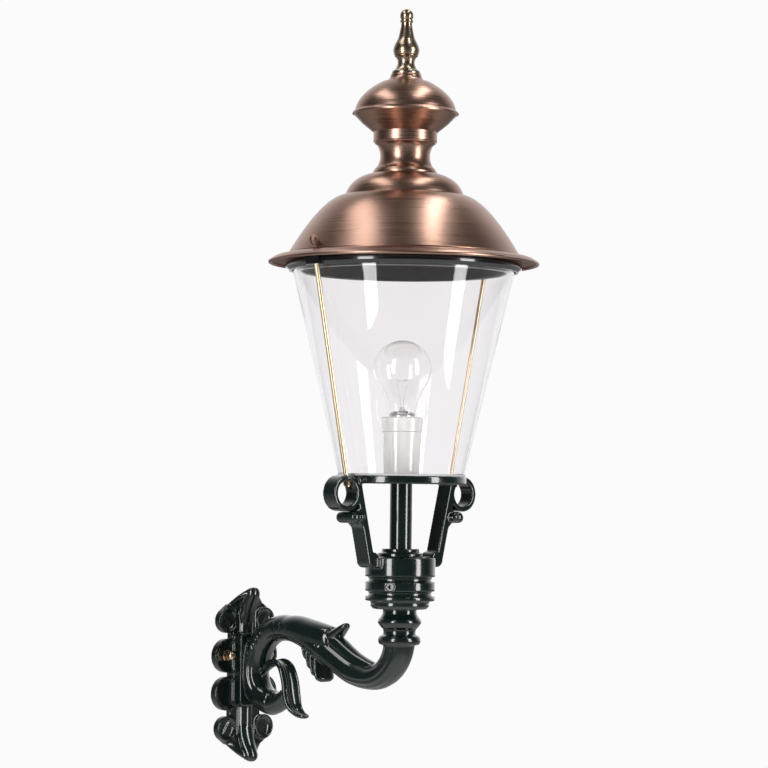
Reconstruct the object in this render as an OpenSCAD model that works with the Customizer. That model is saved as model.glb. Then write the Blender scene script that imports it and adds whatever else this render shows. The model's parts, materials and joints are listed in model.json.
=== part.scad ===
// Wall lantern: a round tapered glass lantern with a domed copper roof, on a cast scroll bracket.
// The wall is the plane y = 0, +Z is up and the lantern stands out along -Y.
// The origin is the centre of the wall plate's back.

/* [Placement] */
// Distance from the wall to the lantern's upright axis
reach = 250; // [240:2:270]
// Height of the socket's lower rim above the wall plate's centre
socket_z = 80.6; // [78:0.2:84]

/* [Wall plate] */
// Thickness of the plate's flat part
plate_t = 6; // [5:0.5:8]
// How far the rim stands proud of the flat part
rim_rise = 2.2; // [1.5:0.1:3]
// Width of the raised rim
rim_w = 3.6; // [3:0.2:5]
// Half width of the plate's middle
spine_r = 21.5; // [20:0.5:23]
// Radius of the two middle petals on each side
lobe_r = 18.6; // [17:0.2:19.2]
// Distance of their centres from the plate's upright centre line
lobe_x = 25.5; // [24:0.5:28]
// Height of the middle petals' centres above and below the plate's centre
lobe_z = 20.5; // [19.5:0.5:22]
// Radius of the petals at the corners
corner_r = 13.6; // [12:0.2:15]
// Distance of their centres from the plate's upright centre line
corner_x = 26; // [24:0.5:28]
// Height of the corner petals' centres
corner_z = 58.5; // [56:0.5:60]
// Height of the leaf tips
leaf_z = 88; // [86:0.5:92]
// Half width of the upright ridge
ridge_r = 9.5; // [9:0.5:11]
// Height of the ridge over the flat part
ridge_h = 7.5; // [6:0.5:9]

/* [Wall fixing] */
// Distance between the two studs
stud_gap = 54; // [53:0.5:56]
// Diameter of the studs
stud_d = 6; // [5:0.5:7]
// Width of the steel strap
strap_w = 16; // [14:0.5:17]
// Thickness of the strap
strap_t = 2.5; // [2:0.1:3]
// Distance between the strap's wall screw holes
wall_hole_gap = 26; // [24:0.5:26.5]
// Diameter of the wall screw holes
wall_hole_d = 5.5; // [4.5:0.1:6]
// Width of the brass nuts over their flats
nut_af = 10; // [9:0.5:11]
// Height of the brass nuts with their domes
nut_h = 12; // [11:0.5:15]
// Thickness of the brass washers
wall_washer_t = 1.2; // [1:0.1:1.6]

/* [Bracket arm] */
// Half width of the arm
tube_r = 16; // [15:0.2:16.6]
// Half of the arm's thickness in the bend and on the climb
bend_t = 12.8; // [12:0.2:14]
// Radius of the tight bend under the lantern
bend_r = 42; // [38:0.5:44]
// Radius of the long sweep after the bend
sweep_r = 100; // [92:2:106]
// Angle at which the arm climbs to its arch
climb = 26; // [24:0.5:28]
// Radius of the arch on the lantern's side
front_r = 84; // [78:2:90]
// Radius of the arch on the wall's side
back_r = 50; // [48:0.5:52]
// Radius of the scroll under the foot
curl_r = 31.5; // [30.5:0.5:33]
// Half of the arm's thickness from the arch to the scroll
arch_r = 13.9; // [13.4:0.1:14.6]
// Width of the foot pad
pad_w = 38; // [36:0.5:39]
// Height of the foot pad
pad_h = 79; // [76:1:82]
// How far the foot pad's middle lies above the plate's middle
pad_z = 5.6; // [4:0.2:7]
// Thickness of the seat that the foot pad stands on, measured from the wall
seat_t = 10; // [9.5:0.5:11]
// Thickness of the foot pad
pad_t = 11; // [9:0.5:12]
// Radius of the spigot's neck
neck_r = 17.4; // [17:0.1:18]
// Radius of the two turned beads
bead_r = 21.9; // [21:0.1:23]
// Height of the upper bead
bead_h1 = 14.4; // [13:0.2:15]
// Height of the lower bead
bead_h2 = 10.4; // [9:0.2:11.5]
// Height of the neck above the upper bead
neck_h = 6; // [5:0.5:7]
// Height of the waist between the beads
waist_h = 6.2; // [5:0.2:7]
// Radius of the spigot inside the socket
spigot_r = 24; // [22:0.5:25]
// Height of the spigot inside the socket
spigot_h = 30; // [26:1:34]
// Diameter of the cable duct
duct_d = 9; // [7:0.5:10]

/* [Foot screws] */
// Diameter of the screws that hold the arm to the plate
foot_screw_d = 8; // [6:0.5:8]
// Diameter of their heads
foot_head_d = 13; // [12:0.5:13.5]
// Height of their heads
foot_head_h = 5; // [4:0.5:6]
// Length of their threaded shanks
foot_screw_l = 18; // [15:1:20]
// Distance between them
foot_screw_gap = 63; // [62:0.5:64]

/* [Socket] */
// Radius of the socket's bands
band_r = 36; // [35:0.2:37]
// Radius at the bottom of the grooves
groove_r = 32.4; // [31:0.2:33]
// Radius of the lower rim
rim_r = 30.3; // [29:0.1:31]
// Height of the lower rim
rim_h = 8.4; // [7:0.2:9]
// Height of the narrow rib
rib_h = 5.2; // [4.5:0.1:6]
// Height of each groove
groove_h = 4.8; // [4:0.1:5.5]
// Height of the band that holds the grub screws
band_h = 9.9; // [9:0.1:11]
// Height of the head that the cradle arms spring from
head_h = 20; // [18:0.5:22]
// Radius of the lower step on top
step2_r = 23.7; // [22.5:0.1:25]
// Radius of the upper step on top
step1_r = 19.2; // [18:0.1:20.5]
// Height of each step
step_h = 4.4; // [4:0.1:5]
// Diameter of the grub screws
grub_d = 8; // [6:0.5:9]
// Clearance between the spigot and the socket's bore
socket_fit = 0.15; // [0.1:0.05:0.3]

/* [Cradle] */
// Open height between the socket and the deck
cradle_h = 66.4; // [60:1:72]
// Width of the deck's edge round the glass
deck_edge = 2; // [1.5:0.5:4]
// Thickness of the deck
deck_t = 8.3; // [7.5:0.1:9]
// Width of the cradle arms
lyre_w = 18; // [16:0.5:20]
// Thickness of the cradle arms
lyre_t = 9; // [8:0.5:10]
// Distance from the socket's band to an arm's inner face
lyre_gap = 8; // [6:0.5:10]
// How far the arms' inner faces stand back from the deck's edge
lyre_in = 4.5; // [3:0.5:6]
// Outer radius of the ring at each arm's top
ring_r = 18.25; // [17.5:0.25:19]
// Radius of the hole in each ring
ring_hole_r = 13; // [12:0.25:13.5]
// Distance from the deck's edge to a ring's centre
ring_out = 15; // [14:0.5:16]
// Radius of the small cross bar under each ring
knob_r = 5.4; // [5:0.1:6]
// Length of the cross bar
knob_l = 26; // [24:0.5:28]

/* [Stem and lamp holder] */
// Diameter of the stem tube
stem_d = 23; // [21:0.5:24]
// Wall of the stem tube
stem_wall = 2.5; // [2:0.1:3]
// Height of the stem's top above the deck
stem_rise = 1.5; // [1:0.1:3]
// Outer radius of the lamp holder's upper ring
holder_r = 21.5; // [21:0.1:22.5]
// Radius of the lamp holder's foot
holder_foot_r = 18.5; // [18:0.1:19.5]
// Height of the lamp holder
holder_h = 59.3; // [58:0.5:62]
// Height of the lamp holder's upper ring
holder_ring_h = 15.5; // [14:0.5:17]
// Wall of the lamp holder's cup
holder_wall = 6; // [5.4:0.1:6.4]
// Diameter of the threaded nipple
nipple_d = 10; // [9:0.5:10.5]

/* [Lamp] */
// Diameter of the lamp's screw cap
cap_d = 26.4; // [26:0.1:26.6]
// Height of the lamp's screw cap
cap_h = 27; // [26:0.5:28]
// Diameter of the lamp's bulb
bulb_d = 60; // [56:1:64]
// Height of the whole lamp
lamp_h = 105; // [102:1:110]
// Thickness of the lamp's glass
bulb_wall = 0.8; // [0.6:0.1:1.2]
// Running clearance between the screw cap and its shell
cap_fit = 0.08; // [0.05:0.01:0.1]

/* [Glass] */
// Outer radius of the glass at its foot
glass_foot_r = 65; // [62:0.5:68]
// Outer radius of the glass at its top
glass_top_r = 115; // [110:0.5:120]
// Height of the glass
glass_h = 211.3; // [200:1:220]
// Thickness of the glass
glass_t = 3.2; // [2.5:0.1:4]
// Thickness of the lower seal
lower_seal_t = 2; // [1.5:0.1:3]
// Thickness of the upper seal
upper_seal_t = 4; // [3:0.1:5]

/* [Gallery] */
// Clearance between the glass and the gallery's skirt
skirt_gap = 0.7; // [0.5:0.1:1]
// Thickness of the skirt at its foot
skirt_t = 2.8; // [2.4:0.1:3.2]
// How far the skirt reaches down over the glass
skirt_lap = 3; // [2:0.1:4]
// How far the gallery's band swells out over the skirt's foot
band_swell = 3.5; // [3:0.1:4]
// Thickness of the gallery's web
web_t = 3.5; // [3:0.1:4.5]
// Height of the gallery's band above the web
band_rise = 4.2; // [3.6:0.1:6]
// Width of the band's top, where the roof rests
band_w = 3.4; // [3:0.1:4]
// Clearance between the collar and the inside of the glass, at the collar's foot
collar_gap = 0.8; // [0.5:0.1:1.2]
// Thickness of the collar
collar_t = 3; // [2.5:0.1:4]
// Height of the collar above the web
collar_h = 15.5; // [14:0.5:17]
// Depth of the collar inside the glass, below the web
collar_drop = 8.4; // [7:0.1:9.5]
// How far the two lugs stand out from the band
lug_out = 5.5; // [5:0.1:6.5]
// Width of the lugs
lug_w = 18; // [16:0.5:20]
// How far the lugs hang below the web
lug_drop = 6.6; // [6:0.1:7]

/* [Tie rods] */
// Diameter of the brass tie rods
rod_d = 5; // [4:0.2:5.6]
// Distance from the deck's edge to a rod's centre
rod_out = 10; // [9:0.5:11]
// Distance from a rod's centre to its lug's outer end
lug_edge = 5.5; // [5:0.1:6]
// Clearance of the rod in the deck's hole
rod_fit = 0.2; // [0.1:0.05:0.4]

/* [Roof] */
// Thickness of the copper sheet
sheet_t = 1.1; // [0.9:0.1:1.3]
// How far the brim reaches out past the gallery's band
eave = 17.6; // [14:0.2:20]
// Depth of the brim below its seat
brim_drop = 7; // [6:0.5:9]
// Radius of the rolled edge round the brim
hem_r = 1.7; // [1.4:0.1:2]
// How far the dome's foot lies inside the gallery's edge
dome_in = 2.5; // [2:0.1:3]
// Rise of the brim between its seat and the dome's foot
foot_rise = 1.7; // [1.2:0.1:2.5]
// Distance from the dome's foot in to the handle that gives its fullness
dome_belly = 33.5; // [30:0.5:38]
// Radius of the main dome's top
dome_top_r = 63.5; // [62:0.5:66]
// Height of the main dome above its foot
dome_h = 60.9; // [58:0.5:64]
// Width of the ledge that the shoulder dome leaves round its foot
ledge_w = 2.2; // [1.5:0.1:3]
// Distance from the shoulder's foot in to the handle that gives its fullness
shoulder_belly = 4.5; // [3:0.5:7]
// Height of the shoulder dome
shoulder_h = 23; // [20:0.5:26]
// Radius of the neck's flanges
neck_flange_r = 33; // [31:0.5:36]
// Radius of the neck's waist
neck_waist_r = 26; // [25:0.1:28]
// Height of the neck
spool_h = 43; // [40:0.5:46]
// Height of the neck's upper band
spool_band = 10.4; // [9:0.2:12]
// Radius of the crown's brim
crown_r = 55; // [52:0.2:58]
// Height of the crown's lower cone
cone_h = 19.7; // [18:0.5:24]
// Height of the crown's dome
crown_h = 40.9; // [38:0.5:44]
// Radius of the crown's flat top
crown_top_r = 17; // [16:0.5:20]
// Gap under the roof where it rests on the gallery
seat_gap = 0.3; // [0.2:0.05:0.5]

/* [Finial and tie bolt] */
// Height of the finial
finial_h = 68; // [60:1:76]
// Radius of the finial's base
finial_r = 14.8; // [13.5:0.1:15.6]
// Diameter of the roof's tie bolt
tie_d = 8; // [6:0.5:8]
// Clearance of the tie bolt in the sheets
tie_fit = 0.3; // [0.2:0.05:0.5]

/* [Thumb screws] */
// Diameter of the thumb screws' shanks
thumb_d = 4.2; // [3.8:0.1:4.4]
// Radius of the thumb screws' round heads
thumb_head_r = 5; // [4.5:0.1:6]
// Height of the thumb screws above the dome's foot
thumb_z = 3.4; // [3.2:0.1:5]
// Running clearance of the shank in its bush
thumb_fit = 0.08; // [0.05:0.01:0.1]
// Gap between a thumb screw's point and the collar
thumb_gap = 0.6; // [0.4:0.05:1]

/* [Hidden] */
$fn = 96;

// Colours
copper = "#b98d7c";
bronze = "#a8937c";
brass = "#c9ad62";
paint = "#16241f";
black = "#141414";
steel = "#a9abad";
white = "#f0eee9";
clear = [0.86, 0.9, 0.9, 0.35];
rubber = "#c8cbc8";

// Clearances that seat one fixed piece in another
snug = 0.1;
thread_fit = 0.05;

// Heights above the socket's lower rim
head_z = rim_h + rib_h + groove_h + band_h + groove_h;
steps_z = head_z + head_h;
stem_z = steps_z + 2 * step_h;
deck_z = stem_z + cradle_h;
deck_top = deck_z + deck_t;
glass_z = deck_top + lower_seal_t;
glass_top = glass_z + glass_h;
web_z = glass_top + upper_seal_t;
web_top = web_z + web_t;
band_top = web_top + band_rise;
roof_z = band_top + seat_gap;
dome_foot_z = roof_z + sheet_t + foot_rise;
dome_top = dome_foot_z + dome_h;
spool_z = dome_top + shoulder_h;
cone_z = spool_z + spool_h;
crown_z = cone_z + cone_h;
finial_z = crown_z + crown_h;
holder_z = deck_top + stem_rise;
holder_top = holder_z + holder_h;

// Radii and distances that follow the glass, from the deck up to the roof
deck_r = glass_foot_r + deck_edge;
lyre_head = deck_r - lyre_in;
lyre_foot = band_r + lyre_gap;
ring_x = deck_r + ring_out;
rod_foot_x = deck_r + rod_out;
glass_slope = (glass_top_r - glass_foot_r) / glass_h;
skirt_in = glass_top_r + skirt_gap;
gallery_r = skirt_in + skirt_t + band_swell;
collar_r = glass_top_r - glass_t - glass_slope * (collar_drop - upper_seal_t) - collar_gap;
lug_x = gallery_r + lug_out;
rod_head_x = lug_x - lug_edge;
brim_r = gallery_r + eave;
dome_foot_r = gallery_r - dome_in;
dome_belly_r = dome_foot_r - dome_belly;
shoulder_r = dome_top_r - ledge_w;
shoulder_belly_r = shoulder_r - shoulder_belly;

// Curves
// A point on a curve through b and c, with a and d beyond them.
function through(a, b, c, d, t) =
    0.5 * (2 * b + (c - a) * t + (2 * a - 5 * b + 4 * c - d) * t * t + (3 * b - a - 3 * c + d) * t * t * t);
// A smooth curve through the points p, with n steps between neighbours.
function smooth(p, n) = [
    for (i = [0 : len(p) - 2])
        for (k = [0 : n - 1])
            through(p[max(i - 1, 0)], p[i], p[i + 1], p[min(i + 2, len(p) - 1)], k / n),
    p[len(p) - 1]
];
// A curve from a to c that leaves towards the handle b and arrives from it.
function bow(a, b, c, n) = [
    for (k = [0 : n]) let(t = k / n) (1 - t) * (1 - t) * a + 2 * t * (1 - t) * b + t * t * c
];
// Points on a circle round c, from angle a0 to a1.
function arc(c, r, a0, a1, n) = [for (k = [0 : n]) let(a = a0 + (a1 - a0) * k / n) c + r * [cos(a), sin(a)]];
// The direction of the curve p at its point i.
function heading(p, i) =
    let(v = [p[min(i + 1, len(p) - 1)].x - p[max(i - 1, 0)].x, p[min(i + 1, len(p) - 1)].y - p[max(i - 1, 0)].y])
    v / norm(v);
// The outline of a sheet of thickness t under the curve p, which runs from the brim up to the axis.
function sheet(p, t) = concat(p, [for (i = [len(p) - 1 : -1 : 0]) p[i] + t * [-heading(p, i).y, heading(p, i).x]]);

// A solid swept along stations [d, z, half thickness, half width], where d is the distance from the
// lantern's axis towards the wall and z the height above the wall plate's centre.
module sweep(s, sides) {
    n = len(s);
    points = [
        for (i = [0 : n - 1])
            for (k = [0 : sides - 1])
                let(a = 360 * k / sides, h = heading(s, i))
                [s[i][3] * cos(a), s[i].x - h.y * s[i][2] * sin(a) - reach, s[i].y + h.x * s[i][2] * sin(a)]
    ];
    skin = [
        for (i = [0 : n - 2])
            for (k = [0 : sides - 1])
                let(a = i * sides + k, b = i * sides + (k + 1) % sides)
                for (f = [[a, b, a + sides], [b, b + sides, a + sides]]) f
    ];
    first = [[for (k = [sides - 1 : -1 : 0]) k]];
    last = [[for (k = [0 : sides - 1]) (n - 1) * sides + k]];
    polyhedron(points, concat(skin, first, last));
}

// Stations along the points p with the section changing evenly from e0 to e1.
function run(p, e0, e1) = [
    for (i = [0 : len(p) - 1]) let(t = i / (len(p) - 1)) [p[i].x, p[i].y, e0[0] + (e1[0] - e0[0]) * t, e0[1] + (e1[1] - e0[1]) * t]
];

module at_axis() {
    translate([0, -reach, socket_z]) children();
}

module turned(outline) {
    rotate_extrude() polygon(outline);
}

module hex_prism(af, h) {
    cylinder(r = af / 2 / cos(30), h = h, $fn = 6);
}

// Wall plate and its fixing
stud_z = lobe_z;
strap_slot_t = strap_t + 0.3;
head_pocket_t = seat_t - 3;
stud_hole_d = stud_d + 0.6;
stud_end = plate_t + wall_washer_t + 7;
ridge_cut_r = (ridge_r * ridge_r + ridge_h * ridge_h) / 2 / ridge_h;
ridge_back = ridge_cut_r - ridge_h - plate_t;
pad_round = 5;

// The plate's outline, drawn in by the distance inset.
module plate_outline(inset) {
    shoulder = [corner_x, corner_z] + (corner_r - inset) * [cos(53), sin(53)];
    for (side = [-1, 1], end = [-1, 1]) {
        translate([side * lobe_x, end * lobe_z]) circle(r = lobe_r - inset);
        translate([side * corner_x, end * corner_z]) circle(r = corner_r - inset);
    }
    square([2 * (spine_r - inset), 2 * corner_z], center = true);
    for (end = [-1, 1])
        polygon([for (q = [
            shoulder, [shoulder.x - 9, leaf_z - 12], [9 - shoulder.x, leaf_z - 12], [-shoulder.x, shoulder.y],
            [inset - spine_r, corner_z - 8], [spine_r - inset, corner_z - 8]
        ]) [q.x, end * q.y]]);
}

// The outline of the foot pad and of its seat, with rounded corners.
module pad_outline() {
    x = pad_w / 2 - pad_round;
    z = pad_h / 2 - pad_round;
    polygon(concat(
        arc([x, pad_z + z], pad_round, 0, 90, 6), arc([-x, pad_z + z], pad_round, 90, 180, 6),
        arc([-x, pad_z - z], pad_round, 180, 270, 6), arc([x, pad_z - z], pad_round, 270, 360, 6)
    ));
}

// The broad leaf that carries the plate's shoulders up to its tip. It curls away from the wall.
function leaf_blade() = let(far = reach - plate_t / 2, g = leaf_z / 88) [
    [far, leaf_z - 22 * g, 2.7, 32 * g],
    [far - 0.5, leaf_z - 16 * g, 2.9, 29 * g],
    [far - 2.5, leaf_z - 10 * g, 3.6, 23 * g],
    [far - 6.5, leaf_z - 4 * g, 4.6, 16 * g],
    [far - 11.5, leaf_z, 5, 10.4 * g],
    [far - 15.5, leaf_z + 2.5 * g, 4.6, 7.6 * g],
    [far - 18, leaf_z + 4 * g, 3, 5.5 * g],
    [far - 19.4, leaf_z + 4.8 * g, 1, 2 * g]
];

// The round back of the leaf, which carries the upright ridge on to the tip.
function leaf_back() = let(far = reach - plate_t, g = leaf_z / 88) [
    [far + 1, leaf_z - 40 * g, 5, ridge_r - 3],
    [far - 1.5, leaf_z - 30 * g, 6, ridge_r - 0.3],
    [far - 3.5, leaf_z - 19 * g, 6.6, ridge_r],
    [far - 6.5, leaf_z - 10 * g, 7, ridge_r - 0.6],
    [far - 10, leaf_z - 3 * g, 7, ridge_r - 1.2],
    [far - 13, leaf_z + g, 6, ridge_r - 2],
    [far - 15, leaf_z + 4 * g, 3.5, ridge_r - 4.5],
    [far - 16, leaf_z + 6 * g, 1, ridge_r - 8]
];

module wall_plate() {
    color(paint) difference() {
        union() {
            rotate([90, 0, 0]) {
                linear_extrude(plate_t) plate_outline(0);
                difference() {
                    linear_extrude(plate_t + rim_rise) plate_outline(0.7);
                    translate([0, 0, plate_t]) linear_extrude(rim_rise + 1) plate_outline(rim_w);
                }
                linear_extrude(seat_t) pad_outline();
            }
            for (end = [0, 1]) mirror([0, 0, end]) {
                sweep(smooth(leaf_blade(), 2), 24);
                sweep(smooth(leaf_back(), 2), 18);
            }
            intersection() {
                translate([0, ridge_back, 22 - leaf_z]) cylinder(r = ridge_cut_r, h = 2 * leaf_z - 44);
                translate([-lobe_x, -30, -leaf_z]) cube([2 * lobe_x, 30, 2 * leaf_z]);
            }
        }
        // the flat that the foot pad lies on
        translate([-pad_w / 2, -seat_t - 20, pad_z - pad_h / 2]) cube([pad_w, 20, pad_h]);
        // the flat back
        translate([-2 * lobe_x, 0, -leaf_z - 20]) cube([4 * lobe_x, 10, 2 * leaf_z + 40]);
        // the slot for the strap, with pockets for the wall screws' heads
        translate([-stud_gap / 2 - strap_w / 2 - 0.5, -strap_slot_t, stud_z - strap_w / 2 - 0.5])
            cube([stud_gap + strap_w + 1, strap_slot_t + 1, strap_w + 1]);
        for (side = [-1, 1]) {
            translate([side * stud_gap / 2, 1, stud_z]) rotate([90, 0, 0]) cylinder(d = stud_hole_d, h = 30);
            translate([side * wall_hole_gap / 2, 1, stud_z]) rotate([90, 0, 0]) cylinder(r = 5.6, h = head_pocket_t + 1);
        }
        // the cable's way in
        translate([0, 1, duct_z]) rotate([90, 0, 0]) cylinder(d = duct_d + 1, h = seat_t + 2);
        foot_screw_places() {
            translate([0, 0, -seat_t - 1]) cylinder(d = foot_screw_d + 0.6, h = seat_t + 2);
            translate([0, 0, -foot_head_h - 0.6]) cylinder(d = foot_head_d + 1, h = foot_head_h + 2);
        }
    }
}

module wall_strap() {
    color(steel) {
        difference() {
            rotate([90, 0, 0]) linear_extrude(strap_t) {
                for (side = [-1, 1]) translate([side * stud_gap / 2, stud_z]) circle(d = strap_w);
                translate([0, stud_z]) square([stud_gap, strap_w], center = true);
            }
            for (side = [-1, 1])
                translate([side * wall_hole_gap / 2, 1, stud_z]) rotate([90, 0, 0]) cylinder(d = wall_hole_d, h = strap_t + 2);
        }
        for (side = [-1, 1])
            translate([side * stud_gap / 2, -strap_t + 0.5, stud_z]) rotate([90, 0, 0]) cylinder(d = stud_d, h = stud_end - strap_t + 0.5);
    }
}

module wall_washers() {
    color(brass) for (side = [-1, 1])
        translate([side * stud_gap / 2, -plate_t, stud_z]) rotate([90, 0, 0]) difference() {
            cylinder(d = stud_d * 2, h = wall_washer_t);
            translate([0, 0, -1]) cylinder(d = stud_d + 0.4, h = wall_washer_t + 2);
        }
}

module wall_nut(side) {
    hex_h = nut_h * 0.42;
    dome_d = nut_af * 0.94;
    color(brass) translate([side * stud_gap / 2, -plate_t - wall_washer_t, stud_z]) rotate([90, 0, 0]) difference() {
        union() {
            hex_prism(nut_af, hex_h);
            cylinder(d = dome_d, h = nut_h - dome_d / 2);
            translate([0, 0, nut_h - dome_d / 2]) sphere(d = dome_d);
        }
        translate([0, 0, -1]) cylinder(d = stud_d + 2 * thread_fit, h = stud_end - plate_t - wall_washer_t + 1.3);
    }
}

// Bracket arm
bead_top = socket_z - neck_h;
waist_top = bead_top - bead_h1;
bead2_top = waist_top - waist_h;
bend_z = bead2_top - bead_h2 + 6.4;
foot_d = reach - seat_t - arch_r + 0.9;
bottom_z = bend_z - bend_r;
climb_run = foot_d - back_r - bend_r - (sweep_r + front_r) * sin(climb);
peak_z = bottom_z + (sweep_r + front_r) * (1 - cos(climb)) + climb_run * tan(climb);
peak_d = foot_d - back_r;
leg_z = peak_z - back_r;
curl_d = foot_d - curl_r;
curl_z = leg_z - curl_r;
hook_r = curl_r - 5.5;
// Size of the cast ornament, compared with the size it was drawn at
grown = tube_r / 16;

function arm_stations() = concat(
    run([[0, bend_z + 14], [0, bend_z + 6]], [tube_r, tube_r], [tube_r, tube_r]),
    run(arc([bend_r, bend_z], bend_r, 180, 270, 12), [tube_r, tube_r], [bend_t, tube_r]),
    run([for (p = [1 : 6]) [bend_r, bottom_z + sweep_r] + sweep_r * [sin(climb * p / 6), -cos(climb * p / 6)]], [bend_t, tube_r], [bend_t + 0.2, tube_r]),
    run([for (p = [1 : 9]) [peak_d, peak_z - front_r] + front_r * [-sin(climb * (1 - p / 9)), cos(climb * (1 - p / 9))]], [bend_t + 0.3, tube_r], [arch_r, tube_r]),
    run([for (p = [1 : 10]) [peak_d, leg_z] + back_r * [sin(9 * p), cos(9 * p)]], [arch_r, tube_r], [arch_r, tube_r]),
    run([for (p = [1 : 9]) [curl_d, leg_z] + curl_r * [cos(10 * p), -sin(10 * p)]], [arch_r, tube_r], [arch_r - 0.4, tube_r - 0.6]),
    run([for (p = [1 : 6]) [curl_d, curl_z + hook_r] + hook_r * [-sin(10 * p), -cos(10 * p)]], [arch_r - 1, tube_r - 1.6], [arch_r - 8.5, tube_r - 6])
);

// Stations round the point c, all grown with the arm.
function placed(c, s) = [for (q = s) [c.x + grown * q[0], c.y + grown * q[1], grown * q[2], grown * q[3]]];

// The cable's way from the wall to the top of the spigot.
duct_turn = 11;
duct_z = leg_z - duct_turn;
function duct() = [
    for (p = smooth(concat(
        [[reach - seat_t + 2, duct_z]],
        arc([foot_d + duct_turn, leg_z], duct_turn, 270, 180, 3),
        arc([peak_d, leg_z], back_r, 30, 90, 2),
        arc([peak_d, peak_z - front_r], front_r, 90 + climb / 2, 90 + climb, 1),
        arc([bend_r, bottom_z + sweep_r], sweep_r, climb - 90, -90, 2),
        arc([bend_r, bend_z], bend_r, 240, 180, 2),
        [[0, bend_z + 16], [0, socket_z + 8], [0, socket_z + spigot_h + 2]]
    ), 2)) [p.x, p.y, duct_d / 2, duct_d / 2]
];

// The curled leaf that ends the scroll.
function tongue() = placed([curl_d, leg_z], [
    [20.5, -2.1, 2.5, 5],
    [13.5, 4.9, 3.6, 8],
    [3.5, 10.3, 4.2, 9.5],
    [-8.5, 12.3, 4.6, 11],
    [-18.5, 6.4, 4.6, 12],
    [-24, -7.1, 4.2, 12],
    [-26, -22.1, 4, 12],
    [-30, -34.1, 3.6, 10.5],
    [-38.5, -42.6, 2.6, 7],
    [-48, -46.1, 1, 2.5]
]);

// The leaf tip that turns up from the top of the arm.
tip_d = bend_r + 70 * grown;
tip_z = bottom_z + 38 * grown;
function upturned_leaf() = placed([tip_d, tip_z], [
    [12, -4, 4, 9],
    [1, 0.5, 5, 10],
    [-11, 3.5, 4, 8.5],
    [-22, 9, 3.4, 6.5],
    [-29, 13, 2.8, 5],
    [-32, 14.6, 1, 2]
]);

// One lobe of the leaf's fluted fringe under the arm.
function fringe(k) = let(r = 4.4 + 0.8 * k) placed([tip_d + grown * (35 - 9.6 * k), bottom_z + grown * (11.9 - 9.6 * k + 1.7 * k * k)], [
    [8.5, 20, r, 10],
    [5, 11, r, 13],
    [1.2, 3, r, 13],
    [-1.5, -0.5 * r, 0.75 * r, 10],
    [-2.5, -0.9 * r, 0.25 * r, 4]
]);

module foot_screw_places() {
    for (end = [-1, 1]) translate([0, 0, pad_z + end * foot_screw_gap / 2]) rotate([-90, 0, 0]) children();
}

module scroll_arm() {
    color(paint) difference() {
        union() {
            sweep(arm_stations(), 24);
            sweep(smooth(tongue(), 3), 16);
            sweep(smooth(upturned_leaf(), 3), 12);
            for (k = [0 : 3]) sweep(smooth(fringe(k), 2), 12);
            translate([0, -seat_t + snug, 0]) rotate([90, 0, 0]) linear_extrude(pad_t + snug) pad_outline();
            translate([0, -reach, 0]) turned(concat(
                [[0, bead2_top - bead_h2 + 1.5], [tube_r - 2, bead2_top - bead_h2 + 1.5]],
                bow([tube_r + 1.4, bead2_top - bead_h2], [bead_r + 3, bead2_top - bead_h2 / 2], [neck_r - 0.6, bead2_top], 8),
                bow([neck_r - 0.6, waist_top], [bead_r + 4.5, waist_top + bead_h1 / 2], [neck_r, bead_top], 8),
                [[neck_r, socket_z + snug], [spigot_r, socket_z + snug + 2], [spigot_r, socket_z + spigot_h], [0, socket_z + spigot_h]]
            ));
        }
        foot_screw_places() translate([0, 0, -foot_screw_l - foot_head_h - 2]) cylinder(d = foot_screw_d + 2 * thread_fit, h = foot_screw_l);
        // the flat back that lies on the plate
        translate([-pad_w, -seat_t, pad_z - pad_h]) cube([2 * pad_w, 30, 2 * pad_h]);
        sweep(duct(), 12);
    }
}

module foot_screws() {
    color(steel) foot_screw_places() {
        translate([0, 0, -foot_head_h - 0.5]) hex_prism(foot_head_d * cos(30), foot_head_h);
        translate([0, 0, -foot_screw_l - foot_head_h - 0.5]) cylinder(d = foot_screw_d, h = foot_screw_l + 1);
    }
}

// Cradle
grub_z = rim_h + rib_h + groove_h + band_h / 2;
socket_bore_r = spigot_r + socket_fit;
elbow_r = 8;
elbow_z = steps_z - lyre_t - 1.5;
ring_z = deck_top - ring_r;
knob_z = ring_z - ring_r - knob_r - 0.6;
knob_x = lyre_head - (lyre_head - lyre_foot) * (deck_z - knob_z) / (deck_z - steps_z) + lyre_t + knob_r * 0.6;
lean = atan((rod_head_x - rod_foot_x) / (web_z - deck_top));

module socket() {
    turned([
        [socket_bore_r, 0], [rim_r - 3, 0], [rim_r, 3], [rim_r, rim_h], [band_r - 1, rim_h], [band_r, rim_h + 1],
        [band_r, rim_h + rib_h - 1], [band_r - 1, rim_h + rib_h], [groove_r, rim_h + rib_h],
        [groove_r, rim_h + rib_h + groove_h], [band_r - 0.6, rim_h + rib_h + groove_h],
        [band_r, rim_h + rib_h + groove_h + 0.6], [band_r, head_z - groove_h - 0.6], [band_r - 0.6, head_z - groove_h],
        [groove_r, head_z - groove_h], [groove_r, head_z], [band_r - 0.4, head_z], [band_r + 0.3, head_z + 0.8],
        [band_r + 0.3, steps_z - 0.8], [band_r - 0.5, steps_z], [step2_r, steps_z], [step2_r, steps_z + step_h],
        [step1_r, steps_z + step_h], [step1_r, stem_z], [stem_d / 2 + snug, stem_z],
        [stem_d / 2 + snug, steps_z - 6], [stem_d / 2 - stem_wall, steps_z - 6],
        [stem_d / 2 - stem_wall, spigot_h + snug], [socket_bore_r, spigot_h + snug]
    ]);
}

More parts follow.
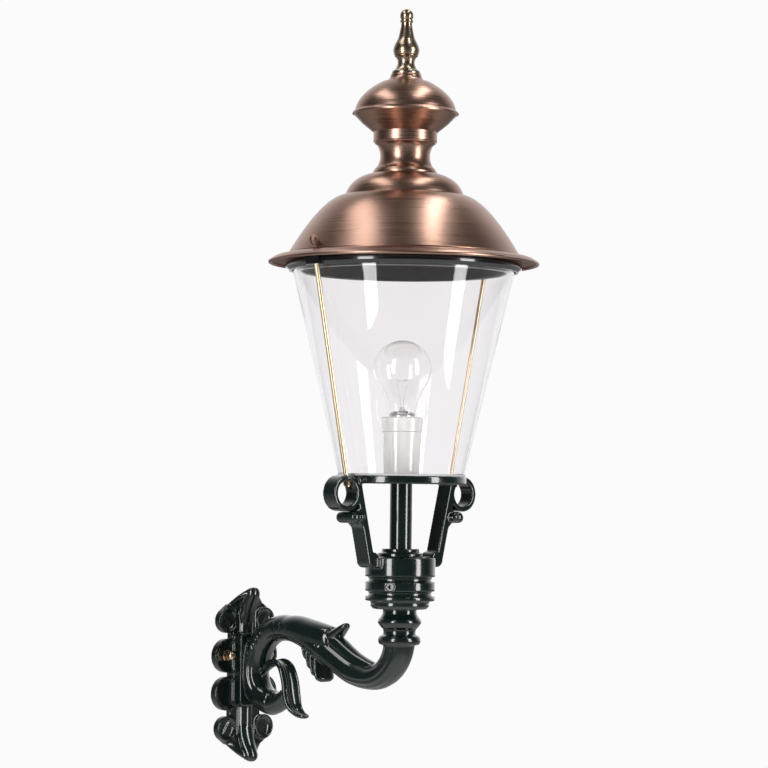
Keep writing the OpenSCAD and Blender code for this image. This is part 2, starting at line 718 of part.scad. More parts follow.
// One side of the lyre-shaped cradle, as an outline in the plane of its arms.
module lyre_outline() {
    top = deck_top - 4;
    difference() {
        union() {
            polygon([
                [groove_r - 4, elbow_z], [lyre_foot + lyre_t - elbow_r, elbow_z], [lyre_foot + lyre_t, elbow_z + elbow_r],
                [lyre_head + lyre_t, deck_z], [lyre_head + lyre_t, top], [lyre_head - 4, top],
                [lyre_head, deck_z], [lyre_foot, elbow_z + lyre_t], [groove_r - 4, elbow_z + lyre_t]
            ]);
            translate([lyre_foot + lyre_t - elbow_r, elbow_z + elbow_r]) circle(r = elbow_r);
            translate([ring_x, ring_z]) circle(r = ring_r);
            polygon([
                [knob_x - knob_r, knob_z - knob_r - 5], [knob_x + knob_r * 0.2, knob_z - knob_r * 0.8],
                [knob_x + knob_r * 0.4, ring_z - ring_r + 3], [lyre_head, ring_z - ring_r + 2], [lyre_head - 4, knob_z - knob_r]
            ]);
        }
        translate([ring_x, ring_z]) circle(r = ring_hole_r);
    }
}

module tilted_rod(side, r, low, high) {
    translate([side * rod_foot_x, 0, deck_top]) rotate([0, side * lean, 0]) translate([0, 0, low]) cylinder(r = r, h = high - low);
}

module cradle() {
    color(paint) at_axis() difference() {
        union() {
            socket();
            difference() {
                translate([0, 0, deck_z]) turned([[0, 0], [deck_r - 0.8, 0], [deck_r, 0.8], [deck_r, deck_t - 0.8], [deck_r - 0.8, deck_t], [0, deck_t]]);
                for (side = [-1, 1]) translate([side * ring_x, 20, ring_z]) rotate([90, 0, 0]) cylinder(r = ring_hole_r, h = 40);
            }
            for (side = [0, 1]) mirror([side, 0, 0]) {
                translate([0, lyre_w / 2, 0]) rotate([90, 0, 0]) linear_extrude(lyre_w) lyre_outline();
                translate([knob_x, 0, knob_z]) rotate([90, 0, 0]) {
                    cylinder(r = knob_r, h = knob_l - knob_r, center = true);
                    for (end = [-1, 1]) translate([0, 0, end * (knob_l - knob_r) / 2]) scale(knob_r) sphere(r = 1);
                }
            }
        }
        translate([0, 0, deck_z - 1]) cylinder(d = stem_d + 2 * snug, h = deck_t + 2);
        for (side = [-1, 1]) {
            tilted_rod(side, rod_d / 2 + rod_fit, -16, 8);
            // a flat seat for the nut, inside the ring
            tilted_rod(side, rod_d * 0.8 / cos(30) + 0.6, rod_seat - 9, rod_seat);
        }
        grub_places() cylinder(d = grub_d + 2 * thread_fit, h = band_r + 2);
    }
}

module grub_places() {
    for (a = [90, 210, 330]) rotate([0, 0, a]) translate([0, 0, grub_z]) rotate([0, 90, 0]) children();
}

module grub_screws() {
    color(steel) at_axis() grub_places() difference() {
        translate([0, 0, spigot_r + snug]) cylinder(d = grub_d, h = band_r - spigot_r - 0.8);
        translate([0, 0, band_r - 4.5]) hex_prism(grub_d / 2, 6);
    }
}

// Stem and lamp holder
stem_foot = steps_z - 6;
plug_h = 10;
nut_floor = 5.5;
nut_room = 12;
cup_z = 22;
shell_r = cap_d / 2 + cap_fit;
shell_wall = 0.6;
cap_z = holder_top + 1.4 - cap_h;

module stem_tube() {
    color(paint) at_axis() translate([0, 0, stem_foot]) difference() {
        cylinder(d = stem_d, h = holder_z - stem_foot);
        translate([0, 0, -1]) cylinder(r = stem_d / 2 - stem_wall, h = holder_z - stem_foot + 2);
    }
}

module stem_plug() {
    color(steel) at_axis() translate([0, 0, holder_z - plug_h]) difference() {
        cylinder(r = stem_d / 2 - stem_wall - thread_fit, h = plug_h);
        translate([0, 0, -1]) cylinder(d = nipple_d + 2 * thread_fit, h = plug_h + 2);
    }
}

module holder_nipple() {
    color(steel) at_axis() translate([0, 0, holder_z - plug_h - 2]) difference() {
        cylinder(d = nipple_d, h = plug_h + nut_floor + 8);
        translate([0, 0, -1]) cylinder(d = nipple_d - 2.4, h = plug_h + nut_floor + 10);
    }
}

module holder_nut() {
    color(steel) at_axis() translate([0, 0, holder_z + nut_floor]) difference() {
        hex_prism(nipple_d * 1.5, 4);
        translate([0, 0, -1]) cylinder(d = nipple_d + 2 * thread_fit, h = 6);
    }
}

module holder_body() {
    ring_z0 = holder_h - holder_ring_h;
    color(white) at_axis() translate([0, 0, holder_z]) turned([
        [nipple_d / 2 + snug, 0], [holder_foot_r - 1, 0], [holder_foot_r, 1], [holder_r - 1.5, ring_z0 - 1], [holder_r - 1.5, ring_z0],
        [holder_r, ring_z0 + 1], [holder_r, holder_h - 1.5], [holder_r - 1.5, holder_h], [holder_r - holder_wall, holder_h],
        [holder_r - holder_wall, cup_z], [3, cup_z], [3, nut_floor + nut_room], [holder_foot_r - 5.5, nut_floor + nut_room],
        [holder_foot_r - 5.5, nut_floor], [nipple_d / 2 + snug, nut_floor]
    ]);
}

module holder_shell() {
    color(brass) at_axis() translate([0, 0, holder_z + cup_z]) turned([
        [4.6, 0], [shell_r + shell_wall, 0], [shell_r + shell_wall, holder_h - cup_z - 4], [shell_r, holder_h - cup_z - 4],
        [shell_r, shell_wall], [4.6, shell_wall]
    ]);
}

module holder_contact() {
    rise = cap_z - 0.3 - holder_z - cup_z;
    color(brass) at_axis() translate([0, 0, holder_z + cup_z]) {
        cylinder(r = 2.6, h = rise - 1.2);
        translate([0, 0, rise - 1.2]) cylinder(r = 4, h = 1.2);
    }
}

// Lamp
bulb_r = bulb_d / 2;
bulb_z = cap_z + lamp_h - bulb_r;
throat_r = cap_d / 2 + 0.5;
throat_z = cap_z + cap_h + 1.5;
round_z = bulb_z - bulb_r * sin(30);
round_r = bulb_r * cos(30);
function bulb_curve(t) = concat(
    bow([throat_r - t, throat_z], [throat_r - t, bulb_z - (round_r - throat_r) * tan(60) - bulb_r / 2 + 1], [(bulb_r - t) * cos(30), bulb_z - (bulb_r - t) * sin(30)], 10),
    [for (a = [-24 : 6 : 84]) [(bulb_r - t) * cos(a), bulb_z + (bulb_r - t) * sin(a)]]
);

module bulb_cap() {
    color(steel) at_axis() difference() {
        turned([
            [0, cap_z], [4.6, cap_z], [5.2, cap_z + 1], [9.5, cap_z + 4.5], [cap_d / 2 - 1.2, cap_z + 5], [cap_d / 2, cap_z + 6.4],
            [cap_d / 2, cap_z + cap_h - 1.6], [cap_d / 2, cap_z + cap_h], [throat_r, cap_z + cap_h + 1.4], [throat_r - 1.4, cap_z + cap_h + 1.4],
            [cap_d / 2 - 1.2, cap_z + cap_h - 1], [cap_d / 2 - 1.2, cap_z + 6.5], [8, cap_z + 5.7], [4, cap_z + 2], [0, cap_z + 2]
        ]);
    }
}

module bulb_glass() {
    top = bulb_z + bulb_r;
    color(clear) at_axis() turned(concat(
        bulb_curve(0), [[0, top], [0, top - bulb_wall]],
        [for (i = [len(bulb_curve(bulb_wall)) - 1 : -1 : 0]) bulb_curve(bulb_wall)[i]]
    ));
}

mount_top = throat_z + 7;
lead_foot = throat_z + 4.4;
lead_turn = mount_top + 3;
coil_z = bulb_z - 11.5;
coil_w = 7;

module wire(a, b, r) {
    v = b - a;
    translate(a - r * v / norm(v)) rotate([0, acos(v.z / norm(v)), atan2(v.y, v.x)]) cylinder(r = r, h = norm(v) + 2 * r, $fn = 16);
}

module bulb_mount() {
    rim = throat_r - bulb_wall - 0.2;
    color(clear) at_axis() difference() {
        turned([
            [0, throat_z + 3], [2.6, throat_z + 3], [rim, throat_z + 0.4], [rim, throat_z + 1.4],
            [3.8, throat_z + 4.2], [3.2, throat_z + 6], [2.6, mount_top - 0.4], [2.2, mount_top], [0, mount_top]
        ]);
        for (side = [-1, 1]) translate([side * 1.4, 0, lead_foot - 0.1]) cylinder(r = 0.45, h = 6);
    }
}

module bulb_filament() {
    waves = 8;
    path = [for (i = [0 : waves]) [coil_w * (2 * i / waves - 1), 0, coil_z + (i % 2 == 0 ? -1.2 : 1.4)]];
    color(steel) at_axis() {
        for (side = [-1, 1]) {
            translate([side * 1.4, 0, lead_foot]) cylinder(r = 0.4, h = lead_turn - lead_foot + 0.2, $fn = 16);
            wire([side * 1.4, 0, lead_turn], [side * coil_w, 0, coil_z - 1.2], 0.4);
        }
        for (i = [0 : waves - 1]) wire(path[i], path[i + 1], 0.35);
    }
}

// Glass and seals
module glass_shade() {
    color(clear) at_axis() turned([
        [glass_foot_r - glass_t, glass_z], [glass_foot_r, glass_z],
        [glass_top_r, glass_top], [glass_top_r - glass_t, glass_top]
    ]);
}

module lower_seal() {
    color(rubber) at_axis() translate([0, 0, deck_top]) difference() {
        cylinder(r = glass_foot_r + 0.8, h = lower_seal_t);
        translate([0, 0, -1]) cylinder(r = glass_foot_r - glass_t - 1, h = lower_seal_t + 2);
    }
}

module upper_seal() {
    color(rubber) at_axis() translate([0, 0, glass_top]) difference() {
        cylinder(r = glass_top_r + 0.4, h = upper_seal_t);
        translate([0, 0, -1]) cylinder(r = glass_top_r - glass_t - 1, h = upper_seal_t + 2);
    }
}

lug_top = band_top - 1.7;

module gallery_ring() {
    foot = glass_top - skirt_lap;
    color(black) at_axis() difference() {
        union() {
            turned([
                [skirt_in, foot], [skirt_in + skirt_t, foot], [gallery_r, foot + band_swell],
                [gallery_r, band_top - 0.8], [gallery_r - 0.8, band_top], [gallery_r - band_w, band_top],
                [gallery_r - band_w, web_top], [collar_r + snug, web_top], [collar_r + snug, web_z], [skirt_in, web_z]
            ]);
            for (side = [-1, 1]) intersection() {
                translate([side * lug_x / 2, 0, web_z]) translate([-lug_x / 2, -lug_w / 2, -lug_drop]) cube([lug_x, lug_w, lug_drop + lug_top - web_z]);
                translate([0, 0, web_z - lug_drop]) difference() {
                    cylinder(r = lug_x, h = lug_drop + lug_top - web_z);
                    translate([0, 0, -1]) cylinder(r = skirt_in + 1.4, h = lug_drop + lug_top - web_z + 2);
                }
            }
        }
        for (side = [-1, 1]) tilted_rod(side, rod_d / 2 + thread_fit, rod_lug_z - 8, rod_l_top + 0.5);
    }
}

// The collar stands in the gallery's bore, on a shoulder.
module gallery_collar() {
    foot = web_z - collar_drop;
    inner = collar_r - collar_t;
    color(black) at_axis() turned([
        [inner, foot + 1], [inner + 1, foot], [collar_r, foot], [collar_r, web_top + snug], [collar_r + 2, web_top + snug],
        [collar_r + 2, web_top + 1.4], [collar_r, web_top + 2.6], [collar_r, web_top + collar_h - 0.6],
        [collar_r - 0.6, web_top + collar_h], [inner, web_top + collar_h]
    ]);
}

// Tie rods
rod_lug_z = (web_z - lug_drop - deck_top) / cos(lean);
rod_l_top = rod_lug_z + 10.5;
rod_nut_h = 4;
rod_seat = -(ring_r - ring_hole_r) / cos(lean) - 0.9;

module tie_rod(side) {
    color(brass) at_axis() tilted_rod(side, rod_d / 2, rod_seat - rod_nut_h - 1.5, rod_l_top);
}

module rod_nut(side) {
    color(brass) at_axis() translate([side * rod_foot_x, 0, deck_top]) rotate([0, side * lean, 0]) translate([0, 0, rod_seat - rod_nut_h]) difference() {
        hex_prism(rod_d * 1.6, rod_nut_h);
        translate([0, 0, -1]) cylinder(d = rod_d + 2 * thread_fit, h = rod_nut_h + 2);
    }
}

// Roof
bolt_hole_r = tie_d / 2 + tie_fit;
// The straight foot of the dome, where the thumb screws pass through.
dome_slope = (dome_foot_r - dome_belly_r) / (dome_h - 4);
function dome_curve() = bow([dome_foot_r, dome_foot_z], [dome_belly_r, dome_top - 4], [dome_top_r, dome_top], 18);

module roof_dome() {
    outer = concat(
        bow([brim_r, roof_z + sheet_t - brim_drop], [brim_r - 5, roof_z + sheet_t - 0.5], [gallery_r + 2, roof_z + sheet_t], 8),
        [[gallery_r - 1, roof_z + sheet_t], [dome_foot_r + 0.9, roof_z + sheet_t], [dome_foot_r + 0.5, roof_z + sheet_t + 0.5]],
        dome_curve(),
        [[40, dome_top], [bolt_hole_r, dome_top]]
    );
    color(copper) at_axis() difference() {
        union() {
            turned(sheet(outer, sheet_t));
            translate([0, 0, roof_z + sheet_t - brim_drop]) rotate_extrude() translate([brim_r - hem_r + 0.3, 0]) circle(r = hem_r);
            translate([0, 0, dome_foot_z - 0.4]) rotate_extrude() translate([dome_foot_r, 0]) circle(r = 0.9);
        }
        for (side = [-1, 1]) thumb_place(side) translate([0, 0, -8]) cylinder(d = thumb_d + 0.8, h = 16);
    }
}

module shoulder_dome() {
    outer = concat(
        bow([shoulder_r, dome_top], [shoulder_belly_r, spool_z - 5], [neck_flange_r + 1, spool_z], 14),
        [[neck_flange_r - 1, spool_z], [20, spool_z], [bolt_hole_r, spool_z]]
    );
    color(copper) at_axis() intersection() {
        turned(sheet(outer, sheet_t));
        translate([0, 0, dome_top]) cylinder(r = shoulder_r + 1, h = shoulder_h + 1);
    }
}

module neck_spool() {
    cove_h = spool_h - spool_band - 5.9;
    cove = smooth([
        [neck_flange_r - 1.5, 4.6], [neck_flange_r - 4.6, 4.6 + 0.13 * cove_h], [neck_waist_r, 4.6 + 0.375 * cove_h],
        [neck_waist_r, 4.6 + 0.63 * cove_h], [neck_flange_r - 4.6, 4.6 + 0.9 * cove_h], [neck_flange_r - 1.5, 4.6 + cove_h]
    ], 4);
    color(copper) at_axis() translate([0, 0, spool_z]) turned(concat(
        [[neck_waist_r - 2, 0], [neck_flange_r, 0], [neck_flange_r, 1.6]], cove,
        [[neck_flange_r - 1, spool_h - spool_band], [neck_flange_r, spool_h - spool_band + 0.6], [neck_flange_r, spool_h], [neck_waist_r - 2, spool_h]]
    ));
}

module crown_cone() {
    outer = [[bolt_hole_r, cone_z], [20, cone_z], [neck_flange_r, cone_z], [neck_flange_r + 0.8, cone_z + 0.6], [crown_r - cone_h / 2, crown_z - cone_h / 2],
        [crown_r - 1.6, crown_z - 1.2], [crown_r - 1.2, crown_z]];
    color(copper) at_axis() turned(concat(
        outer, [for (i = [len(outer) - 1 : -1 : 0]) outer[i] + sheet_t * [-heading(outer, i).y, heading(outer, i).x]]
    ));
}

module crown_dome() {
    outer = concat(
        [[crown_r, crown_z - 0.6], [crown_r + 0.2, crown_z + 0.4], [crown_r - 1, crown_z + 1.6]],
        bow([crown_r - 2.6, crown_z + 3], [crown_r - 5.5, finial_z - crown_h * 0.52], [crown_top_r + 8.5, finial_z - crown_h * 0.21], 12),
        bow([crown_top_r + 7.6, finial_z - crown_h * 0.2], [crown_top_r - 0.5, finial_z - crown_h * 0.18], [crown_top_r - 1, finial_z - crown_h * 0.03], 6),
        [[crown_top_r - 1.6, finial_z], [12, finial_z], [bolt_hole_r, finial_z]]
    );
    color(copper) at_axis() turned(sheet(outer, sheet_t));
}

module finial() {
    top = finial_h;
    ball = finial_r * 0.473;
    shaft = top - 2.03 * ball;
    profile = smooth([
        for (q = [
            [1, 0.03], [0.947, 0.06], [0.78, 0.09], [0.635, 0.167], [0.595, 0.242], [0.69, 0.316], [0.82, 0.349], [0.8, 0.364],
            [0.86, 0.383], [0.926, 0.465], [0.84, 0.558], [0.69, 0.641], [0.568, 0.717], [0.453, 0.855], [0.395, 0.94], [0.385, 1]
        ]) [finial_r * q.x, shaft * q.y]
    ], 3);
    color(bronze) at_axis() translate([0, 0, finial_z]) difference() {
        turned(concat(
            [[0, 0], [finial_r, 0]], profile,
            [[ball * 0.97, top - 1.89 * ball], [ball * 0.97, top - 1.72 * ball], [ball * 0.82, top - 1.66 * ball]],
            [for (a = [-35 : 10 : 85]) [ball * cos(a), top - ball + ball * sin(a)]],
            [[0, top]]
        ));
        translate([0, 0, -1]) cylinder(d = tie_d + 2 * thread_fit, h = 17);
    }
}

tie_foot = dome_top - sheet_t - 1.6 - tie_d * 0.8;

module tie_bolt() {
    color(steel) at_axis() translate([0, 0, tie_foot - 2]) cylinder(d = tie_d, h = finial_z + 15 - tie_foot + 2);
}

module tie_washer() {
    color(steel) at_axis() translate([0, 0, dome_top - sheet_t - 1.6]) difference() {
        cylinder(r = tie_d * 1.5, h = 1.6);
        translate([0, 0, -1]) cylinder(d = tie_d + 2 * thread_fit, h = 4);
    }
}

module tie_nut() {
    color(steel) at_axis() translate([0, 0, tie_foot]) difference() {
        hex_prism(tie_d * 1.6, tie_d * 0.8);
        translate([0, 0, -1]) cylinder(d = tie_d + 2 * thread_fit, h = tie_d * 0.8 + 2);
    }
}

// Thumb screws, square to the dome's foot. Their own +Z points outwards from the sheet's outer face.
thumb_t = thumb_z / dome_h / 2 * 1.04;
thumb_point = let(c = bow([dome_foot_r, dome_foot_z], [dome_belly_r, dome_top - 4], [dome_top_r, dome_top], 200)) c[round(thumb_t * 200)];
thumb_dir = let(c = [dome_belly_r - dome_foot_r, dome_top - 4 - dome_foot_z]) c / norm(c);
thumb_tilt = atan2(thumb_dir.y, -thumb_dir.x);
thumb_reach = (thumb_point.x - collar_r - thumb_gap - thumb_d / 2 * cos(thumb_tilt)) / sin(thumb_tilt);
bush_r = thumb_d / 2 + 1.3;
bush_h = 2.4;

module thumb_place(side) {
    translate([side * thumb_point.x, 0, thumb_point.y]) rotate([0, side * thumb_tilt, 0]) children();
}

module screw_bush(side) {
    color(brass) at_axis() thumb_place(side) translate([0, 0, -sheet_t - 0.25 - bush_h]) difference() {
        cylinder(r = bush_r, h = bush_h);
        translate([0, 0, -1]) cylinder(r = thumb_d / 2 + thumb_fit, h = bush_h + 2);
    }
}

module thumb_screw(side) {
    color(copper) at_axis() thumb_place(side) {
        translate([0, 0, -thumb_reach]) cylinder(d = thumb_d, h = thumb_reach + 2);
        translate([0, 0, 0.5]) cylinder(r = thumb_d * 0.78, h = 2.4);
        translate([0, 0, 2.6 + thumb_head_r]) rotate([90, 0, 0]) difference() {
            cylinder(r = thumb_head_r, h = 2.6, center = true);
            cylinder(r = thumb_head_r * 0.42, h = 4, center = true);
        }
    }
}

wall_strap();
wall_plate();
wall_washers();
wall_nut(-1);  // wall_nut_left
wall_nut(1);  // wall_nut_right
scroll_arm();
foot_screws();
cradle();
grub_screws();
stem_tube();
stem_plug();
holder_nipple();
holder_nut();
holder_body();
holder_shell();
holder_contact();
bulb_cap();
bulb_glass();
bulb_mount();
bulb_filament();
lower_seal();
glass_shade();
upper_seal();
gallery_ring();
gallery_collar();
tie_rod(-1);  // tie_rod_left
tie_rod(1);  // tie_rod_right
rod_nut(-1);  // rod_nut_left
rod_nut(1);  // rod_nut_right
roof_dome();
shoulder_dome();
neck_spool();
crown_cone();
crown_dome();
finial();
tie_bolt();
tie_washer();
tie_nut();
screw_bush(-1);  // screw_bush_left
screw_bush(1);  // screw_bush_right
thumb_screw(-1);  // thumb_screw_left
thumb_screw(1);  // thumb_screw_right
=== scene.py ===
# %% [markdown]
# # A wall lantern with a copper roof
# The lantern stands on a cast scroll bracket. Its frame was drawn in a CAD program, in metres, with the wall
# at y = 0, +Z up and the lantern out along -Y. This file dresses that frame: it sets up the camera and the
# studio, gives every part its finish, and models again the three castings that a CAD program draws
# too plainly.

# %% Load the frame
import json
import math

import bmesh
import bpy
from mathutils import Matrix, Vector


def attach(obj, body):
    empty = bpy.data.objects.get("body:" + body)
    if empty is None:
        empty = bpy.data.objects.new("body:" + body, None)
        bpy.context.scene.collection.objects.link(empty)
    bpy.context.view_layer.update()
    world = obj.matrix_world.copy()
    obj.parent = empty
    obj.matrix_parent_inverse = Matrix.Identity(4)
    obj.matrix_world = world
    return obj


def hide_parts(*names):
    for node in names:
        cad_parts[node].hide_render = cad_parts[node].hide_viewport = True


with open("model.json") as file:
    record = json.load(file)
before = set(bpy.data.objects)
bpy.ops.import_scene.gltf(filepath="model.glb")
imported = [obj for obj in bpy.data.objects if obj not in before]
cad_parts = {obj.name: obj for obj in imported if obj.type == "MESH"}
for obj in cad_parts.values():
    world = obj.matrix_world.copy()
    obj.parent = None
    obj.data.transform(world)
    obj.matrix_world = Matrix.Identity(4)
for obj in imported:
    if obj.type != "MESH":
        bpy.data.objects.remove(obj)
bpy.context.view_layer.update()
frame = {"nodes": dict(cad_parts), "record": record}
nodes = frame["nodes"]
bpy.ops.object.select_all(action="DESELECT")
print("parts in the frame:", len(nodes))

# %% [markdown]
# ## The camera
# The photograph was taken from far away with a long lens: the round roof and the round deck are seen almost
# edge on. The camera stands 2.8 m from the lantern's axis, level with the lower end of the glass, and tips
# up a little, so the upright edges stay nearly parallel. Its place was worked out from the ellipses of the
# roof and the glass. A short lens close by would open those ellipses wide.

# %% Place the camera
AXIS = Vector((0, -0.25, 0))
DISTANCE, EYE_HEIGHT, FOCAL_LENGTH = 2.783, 0.2048, 126.6
TURN, PITCH, ROLL = math.radians(0.39), math.radians(2.2), math.radians(0.7)
towards_camera = Vector((-0.688, -0.7257, 0)).normalized()
eye = AXIS + DISTANCE * towards_camera + Vector((0, 0, EYE_HEIGHT))

camera_data = bpy.data.cameras.new("photo_camera")
camera_data.sensor_width = 36
camera_data.lens = FOCAL_LENGTH
camera_data.clip_start = 0.05
camera = bpy.data.objects.new("photo_camera", camera_data)
bpy.context.scene.collection.objects.link(camera)
heading = math.atan2(-towards_camera.y, -towards_camera.x) + TURN
camera.matrix_world = (
    Matrix.Translation(eye)
    @ Matrix.Rotation(heading - math.pi / 2, 4, "Z")
    @ Matrix.Rotation(math.pi / 2 + PITCH, 4, "X")
    @ Matrix.Rotation(ROLL, 4, "Z")
)
bpy.context.scene.camera = camera
print("camera", round(eye.x, 3), round(eye.y, 3), round(eye.z, 3), "lens", camera_data.lens)

# %% [markdown]
# ## The studio
# A product like this stands before a white backdrop. The world does two jobs here. What the camera sees,
# straight or through the glass, is the plain backdrop. What the metal mirrors is a studio that goes from
# white behind the lantern to dark round the camera, which gives copper and gloss paint their dark middles.
# A Light Path node tells the two apart.

# %% Make the world
BACKDROP = (0.965, 0.962, 0.97, 1)
BRIGHT, DARK = 0.95, 0.06


def seen_directly(tree):
    """1 for what the camera sees, straight or through glass, and 0 for what light and mirrors see."""
    path = tree.nodes.new("ShaderNodeLightPath")
    either = tree.nodes.new("ShaderNodeMath")
    either.operation = "MAXIMUM"
    tree.links.new(path.outputs["Is Camera Ray"], either.inputs[0])
    tree.links.new(path.outputs["Is Transmission Ray"], either.inputs[1])
    return either.outputs[0]


scene = bpy.context.scene
scene.view_settings.view_transform = "Standard"
world = bpy.data.worlds.new("studio")
scene.world = world
world.use_nodes = True
sky = world.node_tree
sky.nodes.clear()
backdrop = sky.nodes.new("ShaderNodeBackground")
backdrop.inputs["Color"].default_value = BACKDROP
backdrop.inputs["Strength"].default_value = 1.0
room = sky.nodes.new("ShaderNodeBackground")
room.inputs["Color"].default_value = (0.97, 0.98, 1.0, 1)
direction = sky.nodes.new("ShaderNodeTexCoord")
facing = sky.nodes.new("ShaderNodeVectorMath")
facing.operation = "DOT_PRODUCT"
facing.inputs[1].default_value = towards_camera
sky.links.new(direction.outputs["Generated"], facing.inputs[0])
shading = sky.nodes.new("ShaderNodeMapRange")
shading.interpolation_type = "SMOOTHSTEP"
shading.inputs["From Min"].default_value = -0.95
shading.inputs["From Max"].default_value = -0.2
shading.inputs["To Min"].default_value = BRIGHT
shading.inputs["To Max"].default_value = DARK
sky.links.new(facing.outputs["Value"], shading.inputs["Value"])
sky.links.new(shading.outputs["Result"], room.inputs["Strength"])
mix = sky.nodes.new("ShaderNodeMixShader")
sky.links.new(seen_directly(sky), mix.inputs["Fac"])
sky.links.new(room.outputs[0], mix.inputs[1])
sky.links.new(backdrop.outputs[0], mix.inputs[2])
sky_out = sky.nodes.new("ShaderNodeOutputWorld")
sky.links.new(mix.outputs[0], sky_out.inputs["Surface"])
print("world", world.name, "from", BRIGHT, "behind the lantern to", DARK, "round the camera")

# %% [markdown]
# Two tall soft boxes stand left and right of the camera. Polished metal shows each as a bright upright band,
# and round glass as a pair of streaks. The roof is a dome, so it mirrors what hangs above it: two strips up
# there, which point down, give the copper its bands.

# %% Hang the lamps
LAMPS = [
    # name, degrees from the camera's side, distance, height, width, length, watts
    ("soft_box_left", -36, 1.9, 0.55, 0.5, 1.9, 25),
    ("soft_box_right", 62, 1.9, 0.55, 0.5, 1.9, 25),
    ("roof_strip_right", 90, 0.6, 2.1, 0.3, 1.5, 9),
    ("roof_strip_left", -80, 0.85, 2.0, 0.5, 1.4, 7),
]
AIM_HEIGHT = 0.35

for name, degrees, distance, height, width, long, watts in LAMPS:
    way = Matrix.Rotation(math.radians(degrees), 3, "Z") @ towards_camera
    spot = AXIS + distance * way + Vector((0, 0, height))
    data = bpy.data.lights.new(name, "AREA")
    data.shape = "RECTANGLE"
    data.size, data.size_y, data.energy = width, long, watts
    lamp = bpy.data.objects.new(name, data)
    scene.collection.objects.link(lamp)
    lamp.location = spot
    if name.startswith("roof"):
        lamp.rotation_euler = towards_camera.to_track_quat("Y", "Z").to_euler()
    else:
        aim = AXIS + Vector((0, 0, AIM_HEIGHT))
        lamp.rotation_euler = (aim - spot).to_track_quat("-Z", "Y").to_euler()
    print(name, watts, "W")

# %% [markdown]
# The floor is far below the lantern and as pale as the background, so in the photograph's view the two
# run into each other. Its paint glows only for the camera. For light it is an ordinary pale surface.

# %% Lay the floor
bpy.ops.mesh.primitive_plane_add(size=30, location=(0, 0, -1.2))
floor = bpy.context.object
floor.name = "studio_floor"
floor_paint = bpy.data.materials.new("pale_floor")
floor_paint.use_nodes = True
tree = floor_paint.node_tree
matt = tree.nodes["Principled BSDF"]
matt.inputs["Base Color"].default_value = (0.9, 0.9, 0.9, 1)
matt.inputs["Roughness"].default_value = 0.9
glow = tree.nodes.new("ShaderNodeEmission")
glow.inputs["Color"].default_value = BACKDROP
floor_mix = tree.nodes.new("ShaderNodeMixShader")
tree.links.new(seen_directly(tree), floor_mix.inputs["Fac"])
tree.links.new(matt.outputs[0], floor_mix.inputs[1])
tree.links.new(glow.outputs[0], floor_mix.inputs[2])
tree.links.new(floor_mix.outputs[0], tree.nodes["Material Output"].inputs["Surface"])
floor.data.materials.append(floor_paint)
print("floor at", round(floor.location.z, 2), "m")

# %% [markdown]
# ## Finishes
# Each finish is one material. A helper makes the usual start: a Principled shader whose own sockets hold
# what is the same all over. Small helpers then add what varies: a noise on Object coordinates, so that it
# stays on the part when the part moves, a ramp that turns the noise into colours, a span that turns it into
# roughness, and a bump.


# %% Helpers for finishes
def finish(name, color, metallic=0.0, roughness=0.4, **sockets):
    """A new material with a Principled shader. Returns the material, its node tree and the shader."""
    m = bpy.data.materials.new(name)
    m.use_nodes = True
    shader = m.node_tree.nodes["Principled BSDF"]
    shader.inputs["Base Color"].default_value = (*color, 1)
    shader.inputs["Metallic"].default_value = metallic
    shader.inputs["Roughness"].default_value = roughness
    for socket, value in sockets.items():
        shader.inputs[socket.replace("_", " ")].default_value = value
    return m, m.node_tree, shader


def noise(tree, squeeze, detail=4.0, roughness=0.55):
    """Noise squeezed along each axis, moved so that the lantern's axis is the pattern's own axis."""
    coords = tree.nodes.new("ShaderNodeTexCoord")
    mapping = tree.nodes.new("ShaderNodeMapping")
    mapping.inputs["Location"].default_value = (0, -AXIS.y * squeeze[1], 0)
    mapping.inputs["Scale"].default_value = squeeze
    tree.links.new(coords.outputs["Object"], mapping.inputs["Vector"])
    tex = tree.nodes.new("ShaderNodeTexNoise")
    tex.inputs["Scale"].default_value = 1.0
    tex.inputs["Detail"].default_value = detail
    tex.inputs["Roughness"].default_value = roughness
    tree.links.new(mapping.outputs[0], tex.inputs["Vector"])
    return tex.outputs["Fac"]


def ramp(tree, source, stops):
    """The source's values as colours."""
    r = tree.nodes.new("ShaderNodeValToRGB")
    elements = r.color_ramp.elements
    while len(elements) < len(stops):
        elements.new(0.5)
    for e, (position, color) in zip(elements, stops):
        e.position = position
        e.color = (*color, 1)
    tree.links.new(source, r.inputs["Fac"])
    return r.outputs["Color"]


def span(tree, source, low, high):
    """The source's values, 0 to 1, as low to high."""
    r = tree.nodes.new("ShaderNodeMapRange")
    r.inputs["To Min"].default_value = low
    r.inputs["To Max"].default_value = high
    tree.links.new(source, r.inputs["Value"])
    return r.outputs["Result"]


def bump(tree, height, strength, distance, shader, normal=None):
    """A bump on the shader, on top of another normal if there is one."""
    b = tree.nodes.new("ShaderNodeBump")
    b.inputs["Strength"].default_value = strength
    b.inputs["Distance"].default_value = distance
    tree.links.new(height, b.inputs["Height"])
    if normal is not None:
        tree.links.new(normal, b.inputs["Normal"])
    tree.links.new(b.outputs["Normal"], shader.inputs["Normal"])


# %% [markdown]
# The roof is spun from copper sheet and then brushed on the lathe, so the scratches run round it. Noise
# squeezed hard along the axis gives rings of slightly different tone and roughness, and a slow, wide noise
# adds the warm and cool patches of lacquered copper. An image of brushed copper would show a seam where it
# meets itself behind the dome.

